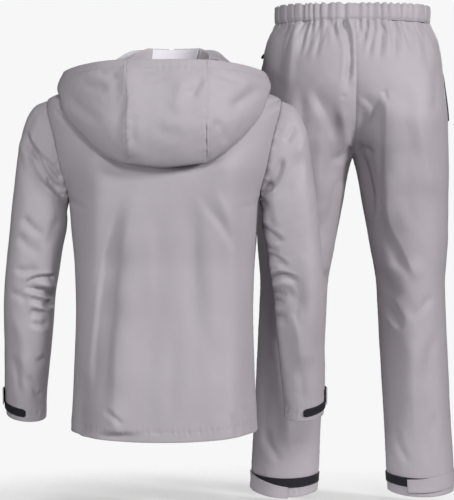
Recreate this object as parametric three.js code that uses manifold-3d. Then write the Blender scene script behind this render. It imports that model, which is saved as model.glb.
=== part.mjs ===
// Rain suit in its worn form, with no wearer: a hooded jacket and elastic-waist trousers that hang beside it.
// Millimetres, +Z up. X runs to the wearer's right and Y to the wearer's front, so the back faces -Y.
// The origin is the middle of the jacket's neck opening, where the wearer's shoulders carry it.
import * as THREE from "three";
import { mergeVertices } from "three/addons/utils/BufferGeometryUtils.js";
import Module from "manifold-3d";

const wasm = await Module();
wasm.setup();

// Driving sizes
const CLOTH = 1.4; // wall of the coated cloth
const SEAM_GAP = 0.3; // space between two pieces at a seam
const LIFT = 0.4; // space under what lies on a panel

const SHOULDER_LEVEL = -62; // top of the armhole, at the shoulder seam
const ARMPIT_LEVEL = -262; // bottom of the armhole
const ARMHOLE_BACK = 20; // how far round the armhole cuts into the back, in degrees
const ARMHOLE_FRONT = 24;
const NECK_LEVEL = 6;
const HEM_LEVEL = -718;
const ZIP_HALF = 4; // half the width of the closed front zip
const ZIP_THICK = 2;
const COLLAR_FRONT = 50; // top of the collar at the throat
const ZIP_TOP = 47;

const HOOD_END = 150; // how far round the neck the hood is sewn, in degrees from the centre back
const HOOD_REST = 7; // space between the lowered hood and the jacket's back
const HOOD_PANEL = 77; // half the width of the hood's centre panel
const HOOD_PANEL_SHIFT = 9; // how far the lowered hood has slid to the wearer's right
const NECK_LEAN = 18; // how far the front of the neck leans to the wearer's right

const TROUSERS = { x: 390, y: 228 }; // where the middle of the trousers hangs
const LEG_PART = 0.2; // half of an extra space along the seat seam
const BAND_TOP = 151;
const BAND_BOTTOM = 115;
const WAIST = { half: 162, back: 106, front: 104, power: 2.5 };
const GATHERS = 56; // waves of the elastic waistband, all round
const GATHER_HEIGHT = 1.9;
const LEG_HEM = -865;
// Pocket zips: heights, and directions from the leg's back. They rise along the side seam, then round to the front.
const POCKET = { top: 80, bottom: -88, startAngle: 88, turn: 36, half: 4, thick: 1.6, sliderAt: 66 };

// Hem tabs: heights above the hem at the side seam and at the free end, and the end's direction.
const RIGHT_TAB = { rootHigh: 46, rootLow: 14, endHigh: 33, endLow: 7, end: -24 };
const LEFT_TAB = { rootHigh: 41, rootLow: 4, endHigh: 19, endLow: -3, end: -3 };

// Cuff strip and tab, placed by the rings of the sleeve. A tenth of a ring is about 3.5 mm there.
const CUFF = {
  middleX: 280,
  middleY: 40,
  stripRing: 11.02,
  stripTall: 0.5,
  stripFall: 0.22,
  tabRing: 10.72,
  tabTall: 0.78,
  tabRise: 0.19,
  tabLift: 1.6,
  tabStandsOff: 3.4,
};

const GREY_CLOTH = "#a39ea6";

// Jacket body: one row for each level up the side seam. A ring's back and front hang lower than its side.
const BODY_ROWS = [
  { level: HEM_LEVEL, half: 186, back: 128, front: 138, backDrop: 15, frontDrop: 6, power: 2.3 },
  { level: -620, half: 181, back: 124, front: 136, backDrop: 10, frontDrop: 4, power: 2.3 },
  { level: -480, half: 177, back: 113, front: 128, backDrop: 4, frontDrop: 0, power: 2.3 },
  { level: -400, half: 179, back: 113, front: 130, backDrop: 0, frontDrop: 0, power: 2.3 },
  { level: -320, half: 185, back: 121, front: 140, backDrop: 0, frontDrop: 0, power: 2.3 },
  { level: ARMPIT_LEVEL, half: 190, back: 126, front: 146, backDrop: 0, frontDrop: 0, power: 2.3 },
  { level: -194, half: 214, back: 128, front: 146, backDrop: 2, frontDrop: 2, power: 2.4 },
  { level: -130, half: 228, back: 122, front: 134, backDrop: 6, frontDrop: 14, power: 2.5 },
  { level: -80, half: 236, back: 108, front: 116, backDrop: 10, frontDrop: 30, power: 2.5 },
  { level: SHOULDER_LEVEL, half: 234, back: 98, front: 108, backDrop: 14, frontDrop: 38, power: 2.5 },
  { level: -40, half: 190, back: 84, front: 98, backDrop: 12, frontDrop: 42, power: 2.4 },
  { level: -18, half: 135, back: 70, front: 92, backDrop: 12, frontDrop: 45, power: 2.2 },
  { level: NECK_LEVEL, half: 78, back: 56, front: 84, backDrop: 11, frontDrop: 48, power: 2.0 },
];

// Sleeve: each ring joins a point on its outer side to one on its underarm side, both in the X-Z plane.
const SLEEVE_ROWS = [
  { ring: 0, outX: 234, outZ: SHOULDER_LEVEL, inX: 190, inZ: ARMPIT_LEVEL, y: 0, depth: 56, tilt: 0, head: 1 },
  { ring: 1, outX: 256, outZ: -72, inX: 192, inZ: -269, y: 0, depth: 57, tilt: 0, head: 0.72 },
  { ring: 2, outX: 272, outZ: -92, inX: 193.5, inZ: -276, y: 0, depth: 58, tilt: 0, head: 0.45 },
  { ring: 3, outX: 285, outZ: -128, inX: 195, inZ: -285, y: 0, depth: 60, tilt: 0, head: 0.22 },
  { ring: 4, outX: 294, outZ: -178, inX: 194.5, inZ: -298, y: 1, depth: 62, tilt: 0, head: 0.06 },
  { ring: 5, outX: 301, outZ: -240, inX: 196, inZ: -318, y: 2, depth: 62, tilt: 1, head: 0 },
  { ring: 6, outX: 309, outZ: -312, inX: 203, inZ: -350, y: 4, depth: 60, tilt: 2, head: 0 },
  { ring: 7, outX: 316, outZ: -390, inX: 211, inZ: -402, y: 8, depth: 57, tilt: 4, head: 0 },
  { ring: 8, outX: 320, outZ: -450, inX: 219, inZ: -454, y: 14, depth: 54, tilt: 6, head: 0 },
  { ring: 9, outX: 322, outZ: -530, inX: 226, inZ: -534, y: 24, depth: 50, tilt: 8, head: 0 },
  { ring: 10, outX: 323, outZ: -606, inX: 234, inZ: -612, y: 34, depth: 46, tilt: 10, head: 0 },
  { ring: 11, outX: 323, outZ: -656, inX: 239, inZ: -664, y: 42, depth: 42, tilt: 11, head: 0 },
  { ring: 12, outX: 321, outZ: -688, inX: 240, inZ: -696, y: 45, depth: 40, tilt: 11, head: 0 },
];

// Lowered hood: one row for each direction from the centre back round to the front. Its cloth runs down the
// jacket to the rest level, turns at its low point, swells outwards and ends at the brim.
const HOOD_RADII = [
  { angle: 0, low: 152, wide: 190, high: 182, brim: 160 },
  { angle: 30, low: 170, wide: 203, high: 197, brim: 174 },
  { angle: 45, low: 184, wide: 208, high: 205, brim: 186 },
  { angle: 60, low: 201, wide: 215, high: 211, brim: 196 },
  { angle: 68, low: 218, wide: 220, high: 213, brim: 201 },
  { angle: 75, low: 213, wide: 218, high: 214, brim: 205 },
  { angle: 90, low: 205, wide: 212, high: 209, brim: 202 },
  { angle: 110, low: 154, wide: 164, high: 167, brim: 160 },
  { angle: 120, low: 124, wide: 133, high: 136, brim: 130 },
  { angle: 129, low: 104, wide: 113, high: 117, brim: 117 },
  { angle: 150, low: 91, wide: 95, high: 98, brim: 99 },
];
const HOOD_HEIGHTS = [
  { angle: 0, rest: -178, low: -204, wide: -122, high: -50, brim: 6 },
  { angle: 30, rest: -164, low: -192, wide: -114, high: -46, brim: 6 },
  { angle: 45, rest: -138, low: -163, wide: -102, high: -42, brim: 3 },
  { angle: 60, rest: -96, low: -119, wide: -82, high: -36, brim: -2 },
  { angle: 68, rest: -70, low: -86, wide: -66, high: -32, brim: -5 },
  { angle: 75, rest: -50, low: -57, wide: -46, high: -29, brim: -8 },
  { angle: 90, rest: -42, low: -41, wide: -33, high: -22, brim: -11 },
  { angle: 110, rest: -24, low: -30, wide: -19, high: -5, brim: 10 },
  { angle: 120, rest: -12, low: -26, wide: -10, high: 7, brim: 24 },
  { angle: 129, rest: -4, low: -20, wide: 0, high: 24, brim: 48 },
  { angle: 150, rest: 3, low: -26, wide: -6, high: 20, brim: 47 },
];

// Collar: its top edge by direction from the centre back, and how far it leans out.
const COLLAR_ROWS = [
  { angle: 0, top: 8, lean: 0.5 },
  { angle: 90, top: 13, lean: 2 },
  { angle: 125, top: 40, lean: 9 },
  { angle: 145, top: COLLAR_FRONT, lean: 9 },
  { angle: 180, top: COLLAR_FRONT, lean: 7 },
];

// One trouser leg: rings about its own middle, which stands off the seat seam. Above the crotch a ring is cut
// by the plane of that seam.
const LEG_ROWS = [
  { level: BAND_BOTTOM - SEAM_GAP, middle: 1, half: 161, back: 108, front: 106, y: 0, drop: 0 },
  { level: 84, middle: 14, half: 165, back: 119, front: 112, y: 0, drop: 0 },
  { level: 58, middle: 25, half: 160, back: 127, front: 117, y: 0, drop: 0 },
  { level: 20, middle: 40, half: 150, back: 136, front: 122, y: 0, drop: 0 },
  { level: -22, middle: 56, half: 138, back: 142, front: 124, y: 0, drop: 0 },
  { level: -79, middle: 76, half: 124, back: 142, front: 120, y: 0, drop: 0 },
  { level: -128, middle: 91, half: 110, back: 132, front: 112, y: 0, drop: 0 },
  { level: -165, middle: 101, half: 101, back: 121, front: 104, y: 0, drop: 0 },
  { level: -212, middle: 107, half: 95, back: 112, front: 98, y: 0, drop: 0 },
  { level: -254, middle: 110.5, half: 91, back: 104, front: 94, y: 2, drop: 0 },
  { level: -339, middle: 117.5, half: 82.5, back: 95, front: 88, y: 4, drop: 0 },
  { level: -444, middle: 123.5, half: 71, back: 86, front: 84, y: 6, drop: 0 },
  { level: -550, middle: 128.3, half: 70.7, back: 80, front: 78, y: 4, drop: 2 },
  { level: -677, middle: 134.5, half: 70.7, back: 74, front: 72, y: 2, drop: 4 },
  { level: -803, middle: 141, half: 71, back: 68, front: 66, y: 0, drop: 7 },
  { level: LEG_HEM, middle: 143.5, half: 69.5, back: 66, front: 64, y: 0, drop: 9 },
];

// The largest folds, seen from the back: a trough from one point to another. Depths below 0 are ridges.
const BODY_FOLDS = [
  { fromX: -84, fromZ: -250, toX: -134, toZ: -725, width: 30, depth: 11 },
  { fromX: -48, fromZ: -300, toX: -76, toZ: -725, width: 30, depth: -5 },
  { fromX: 54, fromZ: -215, toX: 66, toZ: -560, width: 26, depth: 6 },
  { fromX: 108, fromZ: -250, toX: 136, toZ: -690, width: 26, depth: 6 },
  { fromX: 90, fromZ: -260, toX: 100, toZ: -600, width: 24, depth: -4 },
];
const SLEEVE_FOLDS = [
  { fromX: 284, fromZ: -168, toX: 212, toZ: -262, width: 20, depth: 6 },
  { fromX: 262, fromZ: -440, toX: 214, toZ: -462, width: 17, depth: 6 },
  { fromX: 274, fromZ: -486, toX: 220, toZ: -500, width: 17, depth: 5 },
  { fromX: 280, fromZ: -330, toX: 300, toZ: -560, width: 26, depth: -4 },
];
const LEG_FOLDS = [
  { fromX: 44, fromZ: -40, toX: 48, toZ: -250, width: 26, depth: 13 },
  { fromX: 62, fromZ: -270, toX: 118, toZ: -420, width: 24, depth: 9 },
  { fromX: 60, fromZ: -390, toX: 104, toZ: -520, width: 20, depth: 7 },
  { fromX: 150, fromZ: 60, toX: 120, toZ: -300, width: 34, depth: -5 },
  { fromX: 152, fromZ: -560, toX: 112, toZ: -800, width: 30, depth: 5 },
];

const RADIANS = Math.PI / 180;
const sinOf = (degrees) => Math.sin(degrees * RADIANS);
const cosOf = (degrees) => Math.cos(degrees * RADIANS);
const clamp01 = (value) => Math.min(1, Math.max(0, value));
const ease = (value) => clamp01(value) ** 2 * (3 - 2 * clamp01(value));
const signedPower = (value, power) => Math.sign(value) * Math.abs(value) ** power;
const evenSteps = (from, to, count) =>
  Array.from({ length: count + 1 }, (_, i) => from + ((to - from) * i) / count);

// A smooth line through the rows of a table, which never swings past them.
class Profile {
  constructor(rows, key) {
    this.rows = [...rows].sort((a, b) => a[key] - b[key]);
    this.key = key;
    this.slopes = {};
  }

  slopesOf(name) {
    const { rows, key } = this;
    const steps = rows.slice(1).map((row, i) => (row[name] - rows[i][name]) / (row[key] - rows[i][key]));
    return rows.map((_, i) => {
      const before = steps[Math.max(0, i - 1)];
      const after = steps[Math.min(steps.length - 1, i)];
      return before * after <= 0 ? 0 : (2 * before * after) / (before + after);
    });
  }

  at(place, name) {
    const { rows, key } = this;
    this.slopes[name] ??= this.slopesOf(name);
    let i = 0;
    while (i < rows.length - 2 && place > rows[i + 1][key]) i += 1;
    const span = rows[i + 1][key] - rows[i][key];
    const t = clamp01((place - rows[i][key]) / span);
    const start = rows[i][name];
    const rise = rows[i + 1][name] - start;
    const [leave, arrive] = [this.slopes[name][i] * span, this.slopes[name][i + 1] * span];
    const curve = t * t * (3 * rise - 2 * leave - arrive) + t * t * t * (leave + arrive - 2 * rise);
    return start + t * leave + curve;
  }
}

const bodyLine = new Profile(BODY_ROWS, "level");
const sleeveLine = new Profile(SLEEVE_ROWS, "ring");
const hoodRadius = new Profile(HOOD_RADII, "angle");
const hoodHeight = new Profile(HOOD_HEIGHTS, "angle");
const collarLine = new Profile(COLLAR_ROWS, "angle");
const legLine = new Profile(LEG_ROWS, "level");

// How deep the folds push a point in, measured in the view along Y.
function foldDepth(folds, x, z) {
  return folds.reduce((sum, fold) => {
    const [runX, runZ] = [fold.toX - fold.fromX, fold.toZ - fold.fromZ];
    const share = ((x - fold.fromX) * runX + (z - fold.fromZ) * runZ) / (runX ** 2 + runZ ** 2);
    const t = clamp01(share);
    const away = Math.hypot(x - fold.fromX - t * runX, z - fold.fromZ - t * runZ);
    const fade = ease(t * 5 + 0.3) * ease((1 - t) * 5 + 0.3);
    return sum + fold.depth * fade * Math.exp(-((away / fold.width) ** 2));
  }, 0);
}

// Moves a point towards the middle of its ring by its folds. They fade out where the cloth faces sideways.
function folded(point, middle, folds, facing) {
  const depth = foldDepth(folds, point.x, point.z) * ease(Math.abs(facing) * 2.2);
  const inwards = new THREE.Vector3(middle.x - point.x, middle.y - point.y, 0).normalize();
  return point.addScaledVector(inwards, depth);
}

// A point of a ring whose back and front have their own depths. Angle 0 is the back and 90 the wearer's right.
function ringPoint(angle, half, back, front, power) {
  const [s, c] = [sinOf(angle), cosOf(angle)];
  const depth = c > 0 ? back : front;
  return new THREE.Vector3(half * signedPower(s, 2 / power), -depth * signedPower(c, 2 / power), 0);
}

function bareBodyPoint(angle, level) {
  const value = (name) => bodyLine.at(level, name);
  const point = ringPoint(angle, value("half"), value("back"), value("front"), value("power"));
  const drop = cosOf(angle) > 0 ? value("backDrop") : value("frontDrop");
  point.z = level - drop * cosOf(angle) ** 2;
  return point;
}

function bodyPoint(angle, level) {
  return folded(bareBodyPoint(angle, level), new THREE.Vector3(), BODY_FOLDS, cosOf(angle));
}

// The armhole as a loop: 0 at the shoulder seam, 90 on the back, 180 at the armpit, 270 on the front.
function armholePoint(turn) {
  const level = (SHOULDER_LEVEL + ARMPIT_LEVEL) / 2 + ((SHOULDER_LEVEL - ARMPIT_LEVEL) / 2) * cosOf(turn);
  const cut = sinOf(turn) > 0 ? ARMHOLE_BACK : ARMHOLE_FRONT;
  return bodyPoint(90 - cut * sinOf(turn), level);
}

// Where a panel of the body ends at a level: the side seam, or the armhole's edge.
function armholeCut(level, cut) {
  if (level >= SHOULDER_LEVEL || level <= ARMPIT_LEVEL) return 0;
  const height = (2 * level - SHOULDER_LEVEL - ARMPIT_LEVEL) / (SHOULDER_LEVEL - ARMPIT_LEVEL);
  return cut * Math.sqrt(1 - height ** 2);
}

// The right sleeve, by turn round it and ring down it. The first rings take on the armhole's shape.
function sleevePoint(turn, ring) {
  const value = (name) => sleeveLine.at(ring, name);
  const oval = (of) =>
    new THREE.Vector3(
      (of("outX") + of("inX")) / 2 + ((of("outX") - of("inX")) / 2) * cosOf(turn),
      of("y") - of("depth") * signedPower(sinOf(turn), 0.94),
      (of("outZ") + of("inZ")) / 2 + ((of("outZ") - of("inZ")) / 2) * cosOf(turn),
    );
  const point = oval(value);
  const head = oval((name) => SLEEVE_ROWS[0][name]);
  point.addScaledVector(armholePoint(turn).sub(head), value("head"));
  point.z -= value("tilt") * sinOf(turn);
  const middle = new THREE.Vector3((value("outX") + value("inX")) / 2, value("y"), 0);
  folded(point, middle, SLEEVE_FOLDS, sinOf(turn) * ease(ring / 3));
  return point.add(new THREE.Vector3(SEAM_GAP * 1.5, 0, 0));
}

// The body's radius and height in a direction from the neck's middle, at a level.
function bodyInDirection(angle, level) {
  const value = (name) => bodyLine.at(level, name);
  const depth = Math.abs(angle) < 90 ? value("back") : value("front");
  const power = value("power");
  const tangent = Math.abs(Math.tan(angle * RADIANS));
  const around = Math.atan(((tangent * depth) / value("half")) ** (power / 2)) / RADIANS;
  const point = bareBodyPoint(Math.abs(angle) <= 90 ? around : 180 - around, level);
  return { r: Math.hypot(point.x, point.y), z: point.z };
}

// The hood's line in one direction, from the neck seam to the brim, as a profile over its own length.
const hoodLines = new Map();
function hoodDirection(angle) {
  const key = Math.abs(angle).toFixed(3);
  if (!hoodLines.has(key)) {
    const levels = evenSteps(NECK_LEVEL, hoodHeight.at(Math.abs(angle), "rest"), 8);
    const lying = levels.map((level) => bodyInDirection(angle, level));
    const points = lying.map(({ r, z }, i) => {
      const [before, after] = [lying[Math.max(0, i - 1)], lying[Math.min(lying.length - 1, i + 1)]];
      const off = (2 + (HOOD_REST - 2) * ease(i / 2)) / Math.hypot(after.r - before.r, after.z - before.z);
      return { r: r + off * (before.z - after.z), z: z + off * (after.r - before.r) };
    });
    for (const name of ["low", "wide", "high", "brim"]) {
      points.push({ r: hoodRadius.at(Math.abs(angle), name), z: hoodHeight.at(Math.abs(angle), name) });
    }
    let length = 0;
    points.forEach((point, i) => {
      if (i > 0) length += Math.hypot(point.r - points[i - 1].r, point.z - points[i - 1].z);
      point.length = length;
    });
    hoodLines.set(key, { line: new Profile(points, "length"), length });
  }
  return hoodLines.get(key);
}

// How far the neck leans to the right at a point: most beside the throat and a little less at its front.
function leanAt(angle, z) {
  const beside = ease((Math.abs(angle) - 70) / 55) * (1 - 0.35 * ease((Math.abs(angle) - 130) / 50));
  return NECK_LEAN * clamp01((z + 40) / 90) * beside;
}

function hoodPoint(angle, share) {
  const { line, length } = hoodDirection(angle);
  const [r, z] = [line.at(share * length, "r"), line.at(share * length, "z")];
  return new THREE.Vector3(r * sinOf(angle) + leanAt(angle, z), -r * cosOf(angle), z);
}

// The direction of the seam between the hood's centre panel and a side panel.
function hoodSeam(side, share) {
  const { line, length } = hoodDirection(25);
  const reach = (side * HOOD_PANEL + HOOD_PANEL_SHIFT) / line.at(share * length, "r");
  return Math.asin(Math.max(-0.62, Math.min(0.62, reach))) / RADIANS;
}

function collarPoint(angle, share) {
  const base = bareBodyPoint(angle, NECK_LEVEL);
  const out = new THREE.Vector3(base.x, base.y, 0).normalize();
  const start = base.z + 0.8;
  const z = start + (collarLine.at(Math.abs(angle), "top") - start) * share;
  base.addScaledVector(out, collarLine.at(Math.abs(angle), "lean") * share - 0.6);
  return base.setZ(z).add(new THREE.Vector3(leanAt(angle, z), 0, 0));
}

// One leg about the middle of the seat seam. Angle -90 is its inner side, 0 its back and 90 its outer side.
function legPoint(angle, level) {
  const value = (name) => legLine.at(level, name);
  const point = ringPoint(angle, value("half"), value("back"), value("front"), 2.2);
  point.add(new THREE.Vector3(value("middle") + LEG_PART, value("y"), level));
  point.z -= value("drop") * signedPower(cosOf(angle), 2);
  const middle = new THREE.Vector3(value("middle"), value("y"), 0);
  return folded(point, middle, LEG_FOLDS, cosOf(angle) * ease((BAND_BOTTOM - level) / 40));
}

// Where a leg's ring meets the plane of the seat seam, as an angle from its back. Below the crotch it is whole.
function seatCut(level) {
  const reach = Math.min(1, legLine.at(level, "middle") / legLine.at(level, "half"));
  return Math.asin(reach ** 1.1) / RADIANS;
}

function bandPoint(angle, level) {
  const uneven = 0.7 + 0.3 * Math.sin(angle * RADIANS * 9 + 1);
  const wave = GATHER_HEIGHT * uneven * (1 + Math.cos(angle * RADIANS * GATHERS));
  const point = ringPoint(angle, WAIST.half, WAIST.back, WAIST.front, WAIST.power);
  const out = new THREE.Vector3(point.x, point.y, 0).normalize();
  return point.addScaledVector(out, wave - GATHER_HEIGHT).setZ(level);
}

// A closed wall of cloth over a surface. Rows run along it, and each row has its own places across it.
function wall(surface, { rows, across, thick = CLOTH, lift = 0, closed = false, trim = true }) {
  const step = 0.35;
  const outer = [];
  const inner = [];
  rows.forEach((along, j) => {
    const reach = Math.abs(rows[Math.min(rows.length - 1, j + 1)] - rows[Math.max(0, j - 1)]) * 0.05;
    const line = across(along).map((place) => {
      const wide = surface(place + step, along).sub(surface(place - step, along));
      const tall = surface(place, along + reach).sub(surface(place, along - reach));
      const out = new THREE.Vector3().crossVectors(wide, tall).normalize();
      return { point: surface(place, along), out };
    });
    outer.push(line.map(({ point, out }) => point.clone().addScaledVector(out, lift + (lift ? thick : 0))));
    inner.push(line.map(({ point, out }) => point.clone().addScaledVector(out, lift + (lift ? 0 : -thick))));
  });
  if (trim) trimEdges(outer, inner, closed);
  return solidBetween(outer, inner, closed);
}

// Draws a wall's edges back by half the gap of a seam.
function trimEdges(outer, inner, closed) {
  const pull = (edge, next) => {
    const move = next.outer.clone().sub(edge.outer).setLength(SEAM_GAP / 2);
    edge.outer.add(move);
    edge.inner.add(move);
  };
  const at = (j, i) => ({ outer: outer[j][i], inner: inner[j][i] });
  const [lastRow, lastPlace] = [outer.length - 1, outer[0].length - 1];
  outer[0].forEach((_, i) => {
    pull(at(0, i), at(1, i));
    pull(at(lastRow, i), at(lastRow - 1, i));
  });
  if (closed) return;
  outer.forEach((_, j) => {
    pull(at(j, 0), at(j, 1));
    pull(at(j, lastPlace), at(j, lastPlace - 1));
  });
}

// The closed solid between two grids of points, turned so that its faces point out.
function solidBetween(outer, inner, closed) {
  const [tall, wide] = [outer.length, outer[0].length];
  const points = [...outer.flat(), ...inner.flat()];
  const index = [];
  const quad = (a, b, c, d) => index.push(a, b, c, a, c, d);
  const at = (layer, j, i) => layer * tall * wide + j * wide + (i % wide);
  const spans = closed ? wide : wide - 1;
  for (let j = 0; j < tall - 1; j += 1) {
    for (let i = 0; i < spans; i += 1) {
      quad(at(0, j, i), at(0, j, i + 1), at(0, j + 1, i + 1), at(0, j + 1, i));
      quad(at(1, j, i), at(1, j + 1, i), at(1, j + 1, i + 1), at(1, j, i + 1));
    }
    if (!closed) {
      quad(at(0, j, 0), at(0, j + 1, 0), at(1, j + 1, 0), at(1, j, 0));
      quad(at(0, j, spans), at(1, j, spans), at(1, j + 1, spans), at(0, j + 1, spans));
    }
  }
  for (let i = 0; i < spans; i += 1) {
    quad(at(0, 0, i), at(1, 0, i), at(1, 0, i + 1), at(0, 0, i + 1));
    quad(at(0, tall - 1, i), at(0, tall - 1, i + 1), at(1, tall - 1, i + 1), at(1, tall - 1, i));
  }
  const volume = index.reduce((sum, _, k) => {
    if (k % 3) return sum;
    const [a, b, c] = [points[index[k]], points[index[k + 1]], points[index[k + 2]]];
    return sum + a.dot(new THREE.Vector3().crossVectors(b, c));
  }, 0);
  if (volume < 0) index.reverse();
  const geometry = new THREE.BufferGeometry().setFromPoints(points);
  geometry.setIndex(index);
  geometry.computeVertexNormals();
  return geometry;
}

const cloth = () => new THREE.MeshStandardMaterial({ color: GREY_CLOTH, roughness: 0.55, metalness: 0 });
const pale = () => new THREE.MeshStandardMaterial({ color: "#cfcdd8", roughness: 0.6, metalness: 0 });
const black = (roughness) => new THREE.MeshStandardMaterial({ color: "#1f1e24", roughness, metalness: 0 });

const suit = new THREE.Group();
const trousers = new THREE.Group();
trousers.position.set(TROUSERS.x, TROUSERS.y, 0);
suit.add(trousers);

function place(group, name, geometry, material) {
  const mesh = new THREE.Mesh(geometry, material);
  mesh.name = name;
  group.add(mesh);
  return mesh;
}

// The other side of a paired piece: mirrored across the X = 0 plane of its group.
function mirrored(geometry) {
  const copy = geometry.clone().scale(-1, 1, 1);
  copy.setIndex([...copy.index.array].reverse());
  return copy;
}

// Jacket body
const BODY_LEVELS = [
  ...[HEM_LEVEL, -670, -625, -580, -530, -480, -435, -390, -345, -300],
  ...[ARMPIT_LEVEL, -240, -205, -165, -125, -92, -72, SHOULDER_LEVEL, -40, -18, NECK_LEVEL],
];

function makeBody() {
  const acrossBack = (level) => {
    const reach = 90 - armholeCut(level, ARMHOLE_BACK);
    return evenSteps(-reach, reach, 18);
  };
  // The fronts stop beside the zip, which is a set distance from the middle.
  const acrossFront = (level) => {
    const beside = (ZIP_HALF + 0.5) / bodyLine.at(level, "half");
    const zip = Math.asin(beside ** (bodyLine.at(level, "power") / 2)) / RADIANS;
    return evenSteps(90 + armholeCut(level, ARMHOLE_FRONT), 180 - zip, 9);
  };
  const acrossLeft = (level) => acrossFront(level).map((angle) => -angle).reverse();
  place(suit, "jacket_back", wall(bodyPoint, { rows: BODY_LEVELS, across: acrossBack }), cloth());
  place(suit, "jacket_front_right", wall(bodyPoint, { rows: BODY_LEVELS, across: acrossFront }), cloth());
  place(suit, "jacket_front_left", wall(bodyPoint, { rows: BODY_LEVELS, across: acrossLeft }), cloth());
}

// Sleeves, with the loop strip sewn to each cuff and the tab that closes over it
const SLEEVE_RINGS = [0, 0.6, 1.3, 2, 3, 4, 5, 6, 6.7, 7.4, 7.8, 8.2, 8.6, 9, 9.6, 10.3, 11, 12];

function makeSleeves() {
  const round = evenSteps(0, 340, 17);
  const sleeve = wall(sleevePoint, { rows: SLEEVE_RINGS, across: () => round, closed: true, trim: false });
  // The strip runs from the outer side to past the middle of the back, falling as it goes.
  const stripPoint = (turn, across) =>
    sleevePoint(turn, CUFF.stripRing + across + (CUFF.stripFall * (turn + 25)) / 120);
  const strip = wall(stripPoint, {
    rows: evenSteps(0, CUFF.stripTall, 2),
    across: () => [-25, ...evenSteps(-20, 80, 10), 94],
    thick: 1.1,
    lift: LIFT,
    trim: false,
  });
  // The tab comes round from the front and lies on the strip. Its free end stands off the sleeve.
  const tabPoint = (turn, across) => {
    const point = sleevePoint(turn, CUFF.tabRing + across - (CUFF.tabRise * (turn + 100)) / 120);
    const middle = new THREE.Vector3(CUFF.middleX, CUFF.middleY, point.z);
    const out = CUFF.tabLift + CUFF.tabStandsOff * ease((turn + 20) / 45);
    return point.addScaledVector(point.clone().sub(middle).normalize(), out);
  };
  const tab = wall(tabPoint, {
    rows: evenSteps(0, CUFF.tabTall, 2),
    across: () => [...evenSteps(-105, 0, 7), 11, 22],
    thick: 1.3,
    lift: LIFT,
    trim: false,
  });
  for (const [side, turned] of [["right", (made) => made], ["left", mirrored]]) {
    place(suit, `sleeve_${side}`, turned(sleeve), cloth());
    place(suit, `cuff_strip_${side}`, turned(strip), black(0.85));
    place(suit, `cuff_tab_${side}`, turned(tab), black(0.8));
  }
}

// Hood
const HOOD_SPREAD = [0, 0.1, 0.18, 0.25, 0.31, 0.36, 0.41, 0.47, 0.56, 0.66, 0.77, 0.88, 1];
const HOOD_SHARES = [0, 0.09, 0.19, 0.29, 0.38, 0.44, 0.49, 0.54, 0.61, 0.7, 0.79, 0.88, 0.95, 1];

function makeHood() {
  const spread = (from, to) => HOOD_SPREAD.map((share) => from + (to - from) * share);
  const panels = [
    ["hood_centre", (share) => evenSteps(hoodSeam(-1, share), hoodSeam(1, share), 7)],
    ["hood_side_right", (share) => spread(hoodSeam(1, share), HOOD_END)],
    ["hood_side_left", (share) => spread(hoodSeam(-1, share), -HOOD_END).reverse()],
  ];
  for (const [name, across] of panels) {
    place(suit, name, wall(hoodPoint, { rows: HOOD_SHARES, across }), cloth());
  }
}

// Collar: a ring that is open at the zip, with the pale lining and the two facings that show inside it
function makeCollar() {
  const shares = [0, 0.35, 0.7, 1];
  const round = evenSteps(-176.5, 176.5, 30);
  place(suit, "collar", wall(collarPoint, { rows: shares, across: () => round }), cloth());
  // Pieces inside the collar follow it at a set distance.
  const inside = (angle, share) => {
    const point = collarPoint(angle, 0.12 + 0.86 * share);
    const out = new THREE.Vector3(point.x, point.y, 0).normalize();
    return point.addScaledVector(out, -CLOTH - LIFT * 3);
  };
  const pieces = [
    ["collar_facing_left", -149.5, -96, cloth()],
    ["collar_lining", -210.5, -150, pale()],
    ["collar_facing_right", 96, 149, cloth()],
  ];
  for (const [name, from, to, material] of pieces) {
    place(suit, name, wall(inside, { rows: shares, across: () => evenSteps(from, to, 9), thick: 1 }), material);
  }
}

// Trousers
const LEG_LEVELS = [
  ...[BAND_BOTTOM - SEAM_GAP, 96, 76, 52, 24, -6, -40, -79, -112, -138, -155, -165, -182, -212, -250],
  ...[-300, -350, -400, -450, -510, -580, -660, -740, -810, LEG_HEM],
];

function makeTrousers() {
  const acrossBack = (level) => evenSteps(-seatCut(level), 90, 11);
  const acrossFront = (level) => evenSteps(90, 180 + seatCut(level), 9);
  const back = wall(legPoint, { rows: LEG_LEVELS, across: acrossBack });
  const front = wall(legPoint, { rows: LEG_LEVELS, across: acrossFront });
  place(trousers, "leg_back_right", back, cloth());
  place(trousers, "leg_front_right", front, cloth());
  place(trousers, "leg_back_left", mirrored(back), cloth());
  place(trousers, "leg_front_left", mirrored(front), cloth());
  const round = evenSteps(0, 360, GATHERS * 3).slice(0, -1);
  const band = { rows: [BAND_BOTTOM, BAND_TOP], across: () => round, closed: true, trim: false };
  place(trousers, "waistband", wall(bandPoint, band), cloth());
}

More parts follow.
